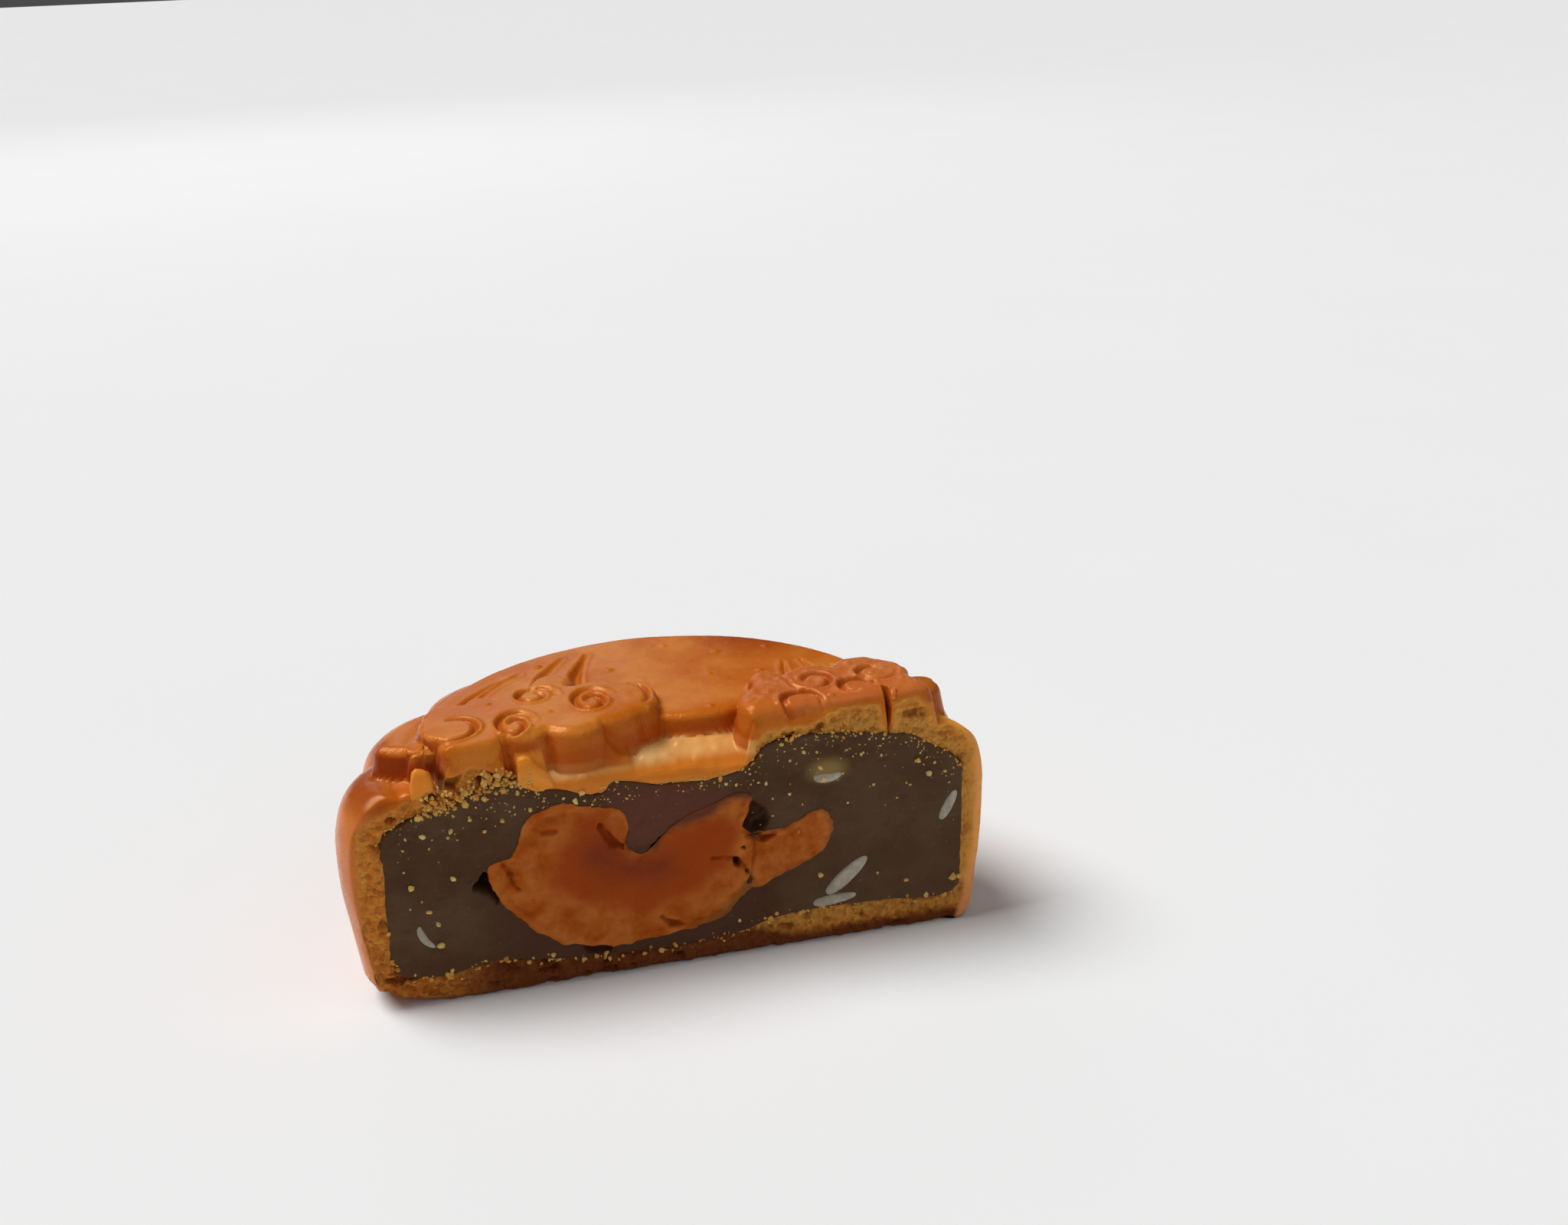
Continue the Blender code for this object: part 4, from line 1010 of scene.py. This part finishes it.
# crevices in the yolk: the depth, then x, z, width along the line
crevices = [
    (0.8, [(-9.0, 20.6, 0.3), (-8.0, 19.0, 0.9), (-6.8, 17.9, 1.0), (-5.8, 17.2, 0.4)]),
    (0.6, [(-20.9, 17.6, 0.3), (-20.3, 16.2, 0.6), (-19.8, 14.8, 0.5), (-19.3, 13.8, 0.2)]),
    (0.6, [(-2.2, 6.9, 0.3), (-1.4, 6.2, 0.6), (-0.3, 5.6, 0.6), (0.6, 5.4, 0.2)]),
    (0.9, [(8.7, 17.3, 0.5), (10.4, 16.3, 1.2), (11.8, 16.0, 0.9), (13.9, 16.9, 0.3)]),
    (0.4, [(4.6, 14.2, 0.2), (6.4, 14.0, 0.35), (7.6, 13.4, 0.4), (9.0, 11.6, 0.2)]),
    (0.3, [(-16.9, 21.6, 0.2), (-16.0, 21.0, 0.5), (-14.4, 20.9, 0.2)]),
]
# x, z, half width, half height of the holes in its right end
yolkHoles = [(7.7, 13.1, 0.5, 0.8), (8.5, 15.0, 0.3, 0.35), (8.9, 11.5, 0.3, 0.3)]
# hollows in the paste: the depth, how much painted shade darkens it, and the outline in x and z
hollows = [
    (2.2, 1.0, [(-23.2, 16.9), (-22.5, 16.2), (-22.1, 14.6), (-21.6, 13.0), (-21.8, 12.2), (-22.7, 13.8),
                (-24.5, 14.5), (-24.7, 15.3), (-24.0, 15.7)]),
    (1.2, 0.6, [(9.7, 21.1), (10.8, 20.4), (11.7, 19.6), (12.0, 18.5), (11.4, 17.2), (9.8, 16.6), (8.4, 17.2),
                (8.6, 19.2)]),
    (0.9, 0.8, [(-11.9, 5.1), (-8.9, 4.7), (-8.4, 3.9), (-9.3, 3.2), (-11.5, 3.6)]),
]
pasteGrid = {"columns": 256, "rows": 92, "backRows": 8}


def pocketDepth(x, z, lump, outline):
    # 0 outside the outline; inside it the depth of a round back at that share of the way to the outline
    cx, cz = lump["centre"]
    angle = np.arctan2(outline[:, 1] - cz, outline[:, 0] - cx)
    reach = np.hypot(outline[:, 0] - cx, outline[:, 1] - cz)
    order = np.argsort(angle)
    here = np.interp(np.arctan2(z - cz, x - cx), angle[order], reach[order], period=math.tau)
    share = np.hypot(x - cx, z - cz) / (here - 0.6)
    return np.where(share < 1.0, lump["depth"] * np.sqrt(np.clip(1.0 - share ** 2, 0.0, 1.0)), 0.0)


def pasteRelief(x, z):
    # how far in the cut paste lies: gently uneven, with fine drags of the knife and a few flecks
    p = onCut(x, z)
    drags = layeredNoise(onCut(x * 0.10 + z * 0.02, z - 0.12 * x), 0.7, 2, 73)
    flecks = ease((noise(p, 0.9, 75) - 0.62) / 0.2)
    return 0.10 * noise(p, 8.0, 71) + 0.05 * noise(p, 2.5, 72) + 0.035 * drags + 0.12 * flecks


def makePaste():
    cut = cake["cutY"]
    u = np.linspace(0.0, 1.0, pasteGrid["columns"] + 1)
    v = np.linspace(0.0, 1.0, pasteGrid["rows"] + 1)[:, None]
    low, high = throughPoints(pasteBottom, len(u)), throughPoints(pasteTop, len(u))
    x = low[:, 0] * (1 - v) + high[:, 0] * v
    z = low[:, 1] * (1 - v) + high[:, 1] * v
    shape = x.shape
    middle = ease(v * 8) * ease((1 - v) * 8) * ease(u * 20) * ease((1 - u) * 20)
    outlines = [throughPoints(lump["outline"], 160, True) for lump in (yolk, fragment)]
    x, z = (grid.ravel() for grid in gathered(x, z, outlines, middle, middle, 0.6))
    p = onCut(x, z)
    y = pasteRelief(x, z)
    dark = np.zeros_like(x)
    for depth, darkness, outline in hollows:
        d = edgeDistance(x, z, throughPoints(outline, 60, True))[0] + 0.12 * noise(p, 0.8, 77)
        hole = ease((d + 0.1) / 0.4)
        y = y + depth * hole * (1.0 + 0.4 * noise(p, 0.7, 79))
        # how much painted shade darkens the hollow
        dark = np.maximum(dark, hole * darkness * (1.0 - 0.3 * noise(p, 0.9, 81)))
    for lump, outline in zip((yolk, fragment), outlines):
        y = np.maximum(y, pocketDepth(x, z, lump, outline) - 0.4)
    front = onCut(x, z, cut + y).reshape(*shape, 3)

    def borderOf(grid):
        # the border of a grid as one loop
        return np.concatenate([grid[0], grid[1:, -1], grid[-1, ::-1][1:], grid[1:, 0][::-1][1:]])

    border = borderOf(front)
    # just behind the cut the paste swells out, so that no gap shows between it and the crust
    middleX, middleZ = filling["middle"]
    swollen = onCut(middleX + (border[:, 0] - middleX) * filling["swell"],
                    middleZ + (border[:, 2] - middleZ) * filling["swell"],
                    border[:, 1] + filling["swollenAt"])
    rear = roundBack(border, cut, pasteGrid["backRows"], filling["paste"])
    rear = np.concatenate([swollen[None], rear])
    numbers = numberGrid(shape)
    loops = wrapped(np.vstack([borderOf(numbers)[None], numberGrid(rear.shape, numbers.size)]))
    points = np.vstack([front.reshape(-1, 3), rear.reshape(-1, 3), rear[-1].mean(0)[None]])
    faces = np.vstack([gridFaces(numbers), gridFaces(loops), fanFaces(loops[-1], len(points) - 1)])
    shade = np.zeros(len(points))
    shade[:numbers.size] = dark
    return meshFrom("lotusPaste", points, faces, {"hollowShade": shade}, pasteMaterial())


def ovalDistance(tree, at, x, z, halfWidth, halfHeight):
    # 0 in the middle of an oval on the cut face and 1 on its edge
    squares = []
    for axis, middle, half in ((0, x, halfWidth), (2, z, halfHeight)):
        share = sums(tree, 'DIVIDE', sums(tree, 'SUBTRACT', at[axis], middle), half)
        squares.append(sums(tree, 'POWER', share, 2.0))
    return sums(tree, 'SQRT', sums(tree, 'ADD', *squares), 0.0)


def pasteMaterial():
    tones = {"paste": (0.076, 0.037, 0.017), "light": (0.104, 0.060, 0.032), "maroon": (0.070, 0.028, 0.017),
             "hollowShade": (0.030, 0.010, 0.005), "blush": (0.125, 0.045, 0.027), "glow": (0.29, 0.195, 0.062),
             "speck": (0.20, 0.15, 0.075)}
    material, tree, shader = newMaterial(
        "lotusPaste", Roughness=0.5, Subsurface_Weight=0.2, Subsurface_Scale=0.0015,
        Subsurface_Radius=(1.0, 0.7, 0.45), IOR=1.40, Specular_IOR_Level=0.12,
        Specular_Tint=(1.0, 0.7, 0.45, 1.0),
    )
    where = place(tree)
    at = addNode(tree, "SeparateXYZ", {0: where}).outputs
    colour = layered(tree, tones, tones["paste"], [
        (spread(tree, mottle(tree, where, 7.0, 3.0), 0.35, 0.68), "light"),
        (spread(tree, at[0], 8.0, 30.0, (0.0, 0.35)), "light"),
        # the paste round the yolk took up its oil and is darker and redder
        (spread(tree, ovalDistance(tree, at, -5.0, 12.0, 19.0, 14.5), 1.15, 0.8, (0.0, 0.8)), "maroon"),
        # most of all between the yolk's top edge and the crust
        (spread(tree, ovalDistance(tree, at, -1.5, 21.0, 11.0, 5.5), 1.2, 0.4), "blush"),
        # a seed just under the surface makes the paste over it glow
        (spread(tree, ovalDistance(tree, at, 19.5, 23.9, 3.3, 2.1), 1.1, 0.2, (0.0, 0.9)), "glow"),
        (spread(tree, mottle(tree, where, 0.45, 2.0), 0.66, 0.74, (0.0, 0.35)), "speck"),
        # painted shade inside the hollows
        (mark(tree, "hollowShade"), "hollowShade"),
    ])
    tree.links.new(colour, shader.inputs["Base Color"])
    tree.links.new(spread(tree, mottle(tree, where, 3.0), 0.3, 0.7, (0.34, 0.5)), shader.inputs["Roughness"])
    drags = mottle(tree, place(tree, (0.18, 1.0, 1.3)), 0.5, 3.0)
    first = bump(tree, shader, drags, 0.06, 0.6)
    bump(tree, shader, mottle(tree, where, 0.25, 2.0), 0.05, 0.5, first)
    return material


lotusPaste = makePaste()
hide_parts("lotus_paste")
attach(lotusPaste, "root")
print("paste done")


def makeLump(name, node, lump, seed):
    # rings from the centre to the outline on the cut face, then on over the round back
    cut = cake["cutY"]
    outline = throughPoints(lump["outline"], lump["columns"], True)
    centre = np.array(lump["centre"])
    edgePoints = onCut(outline[:, 0], outline[:, 1])
    reach = np.hypot(*(outline - centre).T)
    ragged = reach + 0.15 + 0.16 * noise(edgePoints, 0.6, seed) + 0.26 * noise(edgePoints, 1.6, seed + 1)
    arm = (outline - centre) * (ragged / reach)[:, None]
    share = np.linspace(0.0, 1.0, lump["rings"] + 1)[1:] ** 0.85
    x = centre[0] + arm[:, 0] * share[:, None]
    z = centre[1] + arm[:, 1] * share[:, None]
    p = onCut(x, z)
    fromEdge = (1.0 - share[:, None]) * np.hypot(arm[:, 0], arm[:, 1])
    waver = 0.5 * noise(p, 3.0, 102) + 0.3 * noise(p, 1.2, 103)
    flatX, flatZ = x.ravel(), z.ravel()

    def within(outline, soft):
        # 0 outside a measured outline and 1 well inside it
        d = edgeDistance(flatX, flatZ, throughPoints(outline, 120, True))[0].reshape(x.shape)
        return ease((d + waver + soft * 0.5) / soft)

    core, redness = within(yolkParts["core"], 6.5), within(yolkParts["red"], 4.2)
    filmEdge = np.interp(x, *np.array(yolkParts["filmEdge"]).T)
    film = ease((z + waver - filmEdge + 1.3) / 1.8) * ease((x + 3.6) / 1.2)
    fringe = ease((1.7 + waver - fromEdge) / 1.8) * ease((x - 0.5) / 4.0) * ease((12.0 - z) / 2.5)
    # the fragment grew out of the yolk's right end, and there each dives under the other's surface
    shared = ease((x - 8.3) / 0.6) * ease((11.2 - x) / 0.6) * ease((z - 9.7) / 0.6) * ease((16.9 - z) / 0.6)
    if lump is fragment:
        film = np.zeros_like(x)
        fringe = ease(1.0 - fromEdge / 0.9) * 0.6 * (1.0 - shared)
    rim = 1.0 - 0.85 * np.maximum(core, 0.8 * redness)
    lumps = 0.42 * layeredNoise(p, 3.4, 3, 104) + 0.22 * np.clip(grainDistance(p, 1.1, 106), 0, 1) * rim
    lumps = lumps * rim + 0.14 * np.clip(grainDistance(p, 0.55, 108), 0, 1) * rim * ease(1.3 - fromEdge / 3.0)
    y = -0.14 + lumps * (1.0 - 0.6 * film) + 0.08 * noise(p, 5.0, 115)
    creviceShade = np.zeros_like(x)
    for depth, line in crevices:
        d = strokeDistance(flatX, flatZ, line)[0].reshape(x.shape)
        d = d + 0.30 * noise(p, 1.1, 119) + 0.14 * noise(p, 0.5, 120)
        crack = ease((d + 0.3) / 0.6)
        y = y + depth * crack
        # the crevices are also darkened as painted shade
        creviceShade = np.maximum(creviceShade, 0.75 * crack)
    # holes in the right end, sunk in and darkened as painted shade
    holes = np.zeros_like(x)
    for hx, hz, halfWidth, halfHeight in yolkHoles:
        r = np.hypot((x - hx) / halfWidth, (z - hz) / halfHeight) + 0.3 * noise(p, 0.7, 117)
        holes = np.maximum(holes, ease((1.0 - r) / 0.3))
    y = y + 1.3 * holes
    # the rim stands a little proud of the paste, and well clear of where the paste ends under it
    edgeY = pasteRelief(x, z) - 0.09 + 0.6 * shared
    inner = ease((fromEdge - 0.75) / 0.5)
    y = y * inner + np.minimum(y, edgeY) * (1.0 - inner) * (1.0 - shared) + edgeY * (1.0 - inner) * shared
    front = onCut(x, z, cut + y)
    turn = np.linspace(0.0, math.pi / 2, 9)[1:-1, None]
    rear = onCut(centre[0] + arm[:, 0] * np.cos(turn) * 0.96, centre[1] + arm[:, 1] * np.cos(turn) * 0.96,
                 cut + 0.5 + (lump["depth"] - 1.0) * np.sin(turn))
    rows = wrapped(np.concatenate([front, rear]))
    numbers = numberGrid(rows.shape)
    points = np.vstack([rows.reshape(-1, 3), [(centre[0], float(front[0, :, 1].mean()), centre[1])],
                        [(centre[0], cut + lump["depth"] - 0.6, centre[1])]])
    near, far = len(points) - 2, len(points) - 1
    faces = np.vstack([gridFaces(numbers), fanFaces(numbers[0], near)[:, [1, 0, 2]],
                       fanFaces(numbers[-1], far)])
    marks = {}
    looks = {"core": core, "redness": redness, "film": film, "fringe": fringe, "hole": holes, "crack": creviceShade}
    for key, values in looks.items():
        marks[key] = np.zeros(len(points))
        marks[key][numbers[:len(front)]] = wrapped(values)
        marks[key][near] = values[0].mean()
    piece = meshFrom(name, points, faces, marks, yolkMaterial())
    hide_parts(node)
    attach(piece, "root")
    return piece


def yolkMaterial():
    if "eggYolk" in bpy.data.materials:
        return bpy.data.materials["eggYolk"]
    tones = {"orange": (0.38, 0.070, 0.005), "pale": (0.52, 0.155, 0.028), "red": (0.35, 0.056, 0.008),
             "core": (0.22, 0.040, 0.013), "fringe": (0.15, 0.074, 0.024), "crack": (0.26, 0.032, 0.001),
             "film": (0.135, 0.044, 0.025), "hole": (0.050, 0.010, 0.002)}
    material, tree, shader = newMaterial(
        "eggYolk", Roughness=0.5, Subsurface_Weight=0.25, Subsurface_Scale=0.0015,
        Subsurface_Radius=(1.0, 0.35, 0.1), IOR=1.40, Specular_IOR_Level=0.1,
        Specular_Tint=(1.0, 0.5, 0.2, 1.0),
    )
    where = place(tree)
    grainMiddle, grainTone = cells(tree, wobbled(tree, where, 0.6, 0.15), 0.55)
    wavering = spread(tree, mottle(tree, where, 4.0, 3.0), 0.25, 0.75, (-0.06, 0.06))
    redder = sums(tree, 'ADD', mark(tree, "redness"), wavering)
    darker = sums(tree, 'ADD', mark(tree, "core"), wavering)
    colour = layered(tree, tones, tones["orange"], [
        (spread(tree, mottle(tree, where, 3.0, 4.0, 0.5), 0.30, 0.70), "pale"),
        (spread(tree, grainTone, 0.5, 1.0, (0.0, 0.2)), "pale"),
        (spread(tree, redder, 0.0, 1.0, (0.0, 0.95)), "red"),
        (spread(tree, darker, 0.0, 1.0), "core"),
        (product(tree, mark(tree, "film"), 0.95), "film"),
        (product(tree, mark(tree, "fringe"), 0.75), "fringe"),
        # painted shade in the crevices
        (mark(tree, "crack"), "crack"),
        # painted shade inside the holes
        (mark(tree, "hole"), "hole"),
    ])
    tree.links.new(colour, shader.inputs["Base Color"])
    first = bump(tree, shader, mottle(tree, where, 0.9, 5.0, 0.6), 0.16, 0.7)
    bump(tree, shader, spread(tree, grainMiddle, 0.0, 0.7, (1.0, 0.0)), 0.07, 0.6, first)
    return material


makeLump("eggYolk", "egg_yolk", yolk, 101)
makeLump("yolkFragment", "yolk_fragment", fragment, 201)
print("yolk done")

# Melon seeds: x, z, length, width, angle, how far they stand out, how far their middle bends to the side
seeds = [
    (35.2, 16.7, 4.9, 1.5, 62, 0.30, 0.0), (21.8, 8.9, 7.4, 2.1, 40, 0.35, 0.0),
    (20.2, 5.7, 6.0, 1.5, 5, 0.35, 0.0), (-30.5, 9.3, 3.9, 1.0, -60, 0.25, -0.5),
    (19.6, 23.1, 4.2, 1.5, 3, 0.22, -0.3),
]


def makeSeeds():
    # each seed: an ellipse whose width follows a pointed egg curve, flattened, with a shallow crease
    u = np.linspace(0.0, math.pi, 20)[:, None]
    v = np.linspace(0.0, math.tau, 24, endpoint=False)[None]
    points, faces, start = [], [], 0
    for x, z, length, width, angle, proud, bend in seeds:
        a = math.radians(angle)
        along = -np.cos(u) * length / 2.0
        swell = np.sin(u) ** 0.8 * (1.0 + 0.12 * np.cos(u))
        crease = 1.0 - 0.14 * bell((np.sin(v) + 1.0) / 0.25)
        across = swell * np.cos(v) * width / 2.0 + bend * np.sin(u) ** 2
        out = swell * np.sin(v) * crease * 0.55
        px = x + along * math.cos(a) - across * math.sin(a)
        pz = z + along * math.sin(a) + across * math.cos(a)
        grid = onCut(px, pz, cake["cutY"] + 0.5 - proud + out)
        points.append(grid.reshape(-1, 3))
        faces.append(gridFaces(wrapped(numberGrid(grid.shape, start))))
        start += len(points[-1])
    return meshFrom("melonSeeds", np.vstack(points), np.vstack(faces), {}, seedMaterial())


def seedMaterial():
    material, tree, shader = newMaterial(
        "melonSeed", Roughness=0.38, Subsurface_Weight=0.35, Subsurface_Scale=0.0015,
        Subsurface_Radius=(1.0, 0.85, 0.65), Coat_Weight=0.2, Coat_Roughness=0.25,
    )
    where = place(tree)
    colour = blendColours(tree, spread(tree, mottle(tree, where, 1.2), 0.35, 0.7), (0.30, 0.255, 0.175),
                          (0.43, 0.38, 0.29))
    tree.links.new(colour, shader.inputs["Base Color"])
    bump(tree, shader, mottle(tree, place(tree, (1.0, 1.0, 0.6)), 0.35), 0.05, 0.5)
    return material


melonSeeds = makeSeeds()
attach(melonSeeds, "root")

# Crumbs that lie on the cut face: x, z, size
placedCrumbs = [
    (-26.5, 23.0, 1.0), (-29.8, 22.8, 0.9), (-24.2, 24.1, 0.6), (-22.6, 22.3, 0.6), (-26.8, 16.7, 0.7),
    (-31.8, 16.3, 0.9), (-17.0, 24.3, 0.6), (-13.0, 25.2, 0.6), (-11.7, 24.6, 1.0), (-10.8, 25.5, 0.7),
    (-20.4, 23.4, 0.5), (18.3, 9.4, 0.7), (25.7, 8.5, 0.6), (29.5, 6.8, 0.6), (35.8, 6.2, 1.1),
    (32.2, 4.1, 0.9), (7.6, 4.8, 0.5), (31.2, 23.5, 0.8), (32.7, 21.5, 0.8), (34.7, 21.4, 0.6),
    (18.9, 22.7, 1.1), (18.6, 24.4, 0.6), (14.8, 25.9, 0.5), (16.5, 26.8, 0.6), (26.3, 26.2, 0.5),
    (23.8, 25.4, 0.5), (14.6, 21.4, 0.5), (11.7, 23.3, 0.5), (6.7, 24.0, 0.6), (8.0, 23.7, 0.5),
    (-29.1, 8.0, 0.9), (-29.1, 10.9, 0.7), (15.6, 16.0, 0.4), (-30.0, 12.7, 0.8), (-35.0, 10.6, 0.6),
    (25.4, 21.0, 0.4), (22.0, 19.0, 0.35), (28.4, 18.7, 0.3),
]
crumbs = {"scatter": 340, "nearCrust": 420, "crag": 230}


def makeCrumbs(name, spots, material):
    # each crumb: a ball of twelve corners, every corner pushed in or out, stretched and turned at random
    golden = (1 + 5 ** 0.5) / 2
    ball = np.array([(s, t * golden, 0) for s in (-1, 1) for t in (-1, 1)], float)
    ball = np.vstack([ball, np.roll(ball, 1, 1), np.roll(ball, 2, 1)]) / math.hypot(1, golden)
    pairs = np.linalg.norm(ball[:, None] - ball[None], axis=-1) < 1.1
    triangles = [(i, j, k) for i in range(12) for j in range(i + 1, 12) for k in range(j + 1, 12)
                 if pairs[i, j] and pairs[j, k] and pairs[i, k]]
    count = len(spots)
    push = 1.0 + 0.32 * rng.uniform(-1, 1, (count, 12, 1))
    shape = ball[None] * push * rng.uniform(0.65, 1.2, (count, 1, 3)) * spots[:, None, 3:4] / 2.0
    q = rng.normal(size=(count, 4))
    w, i, j, k = (q / np.linalg.norm(q, axis=1, keepdims=True)).T
    turn = np.array([
        [1 - 2 * (j * j + k * k), 2 * (i * j - k * w), 2 * (i * k + j * w)],
        [2 * (i * j + k * w), 1 - 2 * (i * i + k * k), 2 * (j * k - i * w)],
        [2 * (i * k - j * w), 2 * (j * k + i * w), 1 - 2 * (i * i + j * j)],
    ]).transpose(2, 0, 1)
    points = np.einsum('nab,nvb->nva', turn, shape) + spots[:, None, :3]
    faces = (np.array(triangles)[None] + 12 * np.arange(count)[:, None, None]).reshape(-1, 3)
    tone = np.repeat(np.clip(spots[:, 4] + rng.uniform(-0.25, 0.25, count), 0.0, 1.0), 12)
    piece = meshFrom(name, points.reshape(-1, 3), faces, {"tone": tone}, material, smooth=False)
    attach(piece, "root")
    return piece


def crumbMaterial():
    material, tree, shader = newMaterial(
        "crumb", Roughness=0.6, Subsurface_Weight=0.2, Subsurface_Scale=0.0008,
        Subsurface_Radius=(1.0, 0.6, 0.3), Specular_IOR_Level=0.15,
    )
    colour = ramp(tree, mark(tree, "tone"), [
        (0.0, (0.30, 0.085, 0.010)), (0.3, (0.64, 0.27, 0.045)),
        (0.65, (0.68, 0.44, 0.12)), (1.0, (0.78, 0.62, 0.26)),
    ])
    tree.links.new(colour, shader.inputs["Base Color"])
    bump(tree, shader, mottle(tree, place(tree), 0.2), 0.06, 0.6)
    return material


def crumbSpots():
    cut = cake["cutY"]
    upper, lower = throughPoints(pasteTop, 260), throughPoints(pasteBottom, 200)
    placed = np.array(placedCrumbs)

    def spotList(x, y, z, size, tone):
        return np.stack(np.broadcast_arrays(x, y, z, size, tone), 1)

    # tone 0 is dark crust, 0.3 golden crust and 1 pale dry paste
    spots = [spotList(placed[:, 0], cut - 0.05, placed[:, 1], placed[:, 2], 0.65)]
    # scattered over the paste, most of them under the top crust
    x = rng.uniform(-33.5, 36.0, crumbs["scatter"])
    drop = rng.exponential(2.6, len(x))
    z = np.interp(x, upper[:, 0], upper[:, 1]) - 0.3 - drop
    keep = (z > np.interp(x, lower[:, 0], lower[:, 1]) + 1.0) & ~((x > -20) & (x < 9) & (z < 23.5))
    size = np.clip(rng.lognormal(-1.5, 0.4, len(x)), 0.12, 0.6)
    spots.append(spotList(x, cut - 0.02, z, size, 0.65)[keep])
    # a rough seam where crust and paste meet
    seam = np.vstack([upper, lower])
    pick = rng.integers(0, len(seam), crumbs["nearCrust"])
    x, z = seam[pick, 0] + rng.normal(0, 0.35, len(pick)), seam[pick, 1] + rng.normal(0, 0.35, len(pick))
    size = np.clip(rng.lognormal(-0.95, 0.4, len(pick)), 0.2, 0.9)
    keep = ~((x > -15) & (x < 9) & (z > 20) & (rng.uniform(size=len(x)) < 0.6))
    spots.append(spotList(x, cut + rng.uniform(0.0, 0.25, len(x)), z, size, 0.4)[keep])
    # crags where the crust broke at the top left
    x = rng.uniform(-29.5, -16.5, crumbs["crag"])
    z = np.interp(x, upper[:, 0], upper[:, 1]) + rng.normal(0.7, 0.8, len(x))
    size = np.clip(rng.lognormal(-0.7, 0.35, len(x)), 0.25, 1.0)
    spots.append(spotList(x, cut + rng.uniform(-0.1, 0.3, len(x)), z, size, 0.42))
    return np.vstack(spots)


crumbPiece = makeCrumbs("crumbs", crumbSpots(), crumbMaterial())
print("seeds and crumbs done")

# Camera, floor and light
view = {
    "spot": (-33.611, -195.441 + cake["cutY"], 123.941),
    "forward": (0.22340, 0.90423, -0.36394),
    "right": (0.96737, -0.25146, -0.03094),
    "up": (0.11950, 0.34516, 0.93091),
    "lens": 2392.5 / 2048.0 * 36.0,
}
camera = bpy.data.cameras.new("camera")
camera.sensor_width = 36.0
camera.sensor_fit = 'HORIZONTAL'
camera.lens = view["lens"]
camera.clip_start = 0.005
cameraObject = bpy.data.objects.new("camera", camera)
bpy.context.scene.collection.objects.link(cameraObject)
axes = [view["right"], view["up"], tuple(-c for c in view["forward"])]
turnMatrix = Matrix([[axes[c][r] for c in range(3)] for r in range(3)]).to_4x4()
cameraObject.matrix_world = Matrix.Translation(Vector(view["spot"]) * cake["mm"]) @ turnMatrix
bpy.context.scene.camera = cameraObject


def makeFloor():
    bpy.ops.mesh.primitive_plane_add(size=6.0, location=(0.0, 0.0, -0.0002))
    floor = bpy.context.object
    floor.name = "floor"
    material, tree, shader = newMaterial("paleFloor", Roughness=0.9)
    shade = blendColours(tree, mottle(tree, place(tree), 60.0), (0.86, 0.86, 0.86), (0.88, 0.88, 0.88))
    tree.links.new(shade, shader.inputs["Base Color"])
    floor.data.materials.append(material)


def addPanel(name, spot, target, size, power):
    # a rectangular light that faces the target
    light = bpy.data.lights.new(name, 'AREA')
    light.shape = 'RECTANGLE'
    light.size, light.size_y = size
    light.energy = power
    lamp = bpy.data.objects.new(name, light)
    bpy.context.scene.collection.objects.link(lamp)
    lamp.location = spot
    lamp.rotation_euler = (Vector(target) - Vector(spot)).to_track_quat('-Z', 'Y').to_euler()


def addSun(name, towards, strength, width):
    # a far soft light that shines towards the given direction
    light = bpy.data.lights.new(name, 'SUN')
    light.energy = strength
    light.angle = math.radians(width)
    lamp = bpy.data.objects.new(name, light)
    bpy.context.scene.collection.objects.link(lamp)
    lamp.rotation_euler = Vector(towards).to_track_quat('-Z', 'Y').to_euler()


def makeWorld():
    # a dim room with a pale band round the horizon
    world = bpy.data.worlds.new("studio")
    world.use_nodes = True
    tree = world.node_tree
    direction = addNode(tree, "TexCoord").outputs["Generated"]
    height = addNode(tree, "SeparateXYZ", {0: direction}).outputs[2]
    shade = spread(tree, height, 0.14, 0.26, (0.07, 0.025))
    background = tree.nodes["Background"]
    tree.links.new(shade, background.inputs["Strength"])
    background.inputs["Color"].default_value = (1.0, 1.0, 1.0, 1.0)
    bpy.context.scene.world = world


makeFloor()
addSun("windowLight", (0.50, -0.22, -0.95), 2.9, 34.0)
addSun("roomLight", (-0.35, 0.75, -0.75), 0.6, 80.0)
addPanel("backPanel", (-0.08, 0.95, 0.44), (0.0, 0.0, 0.03), (0.5, 0.42), 0.45)
makeWorld()
bpy.context.scene.view_settings.view_transform = 'Standard'
print("camera and light done")
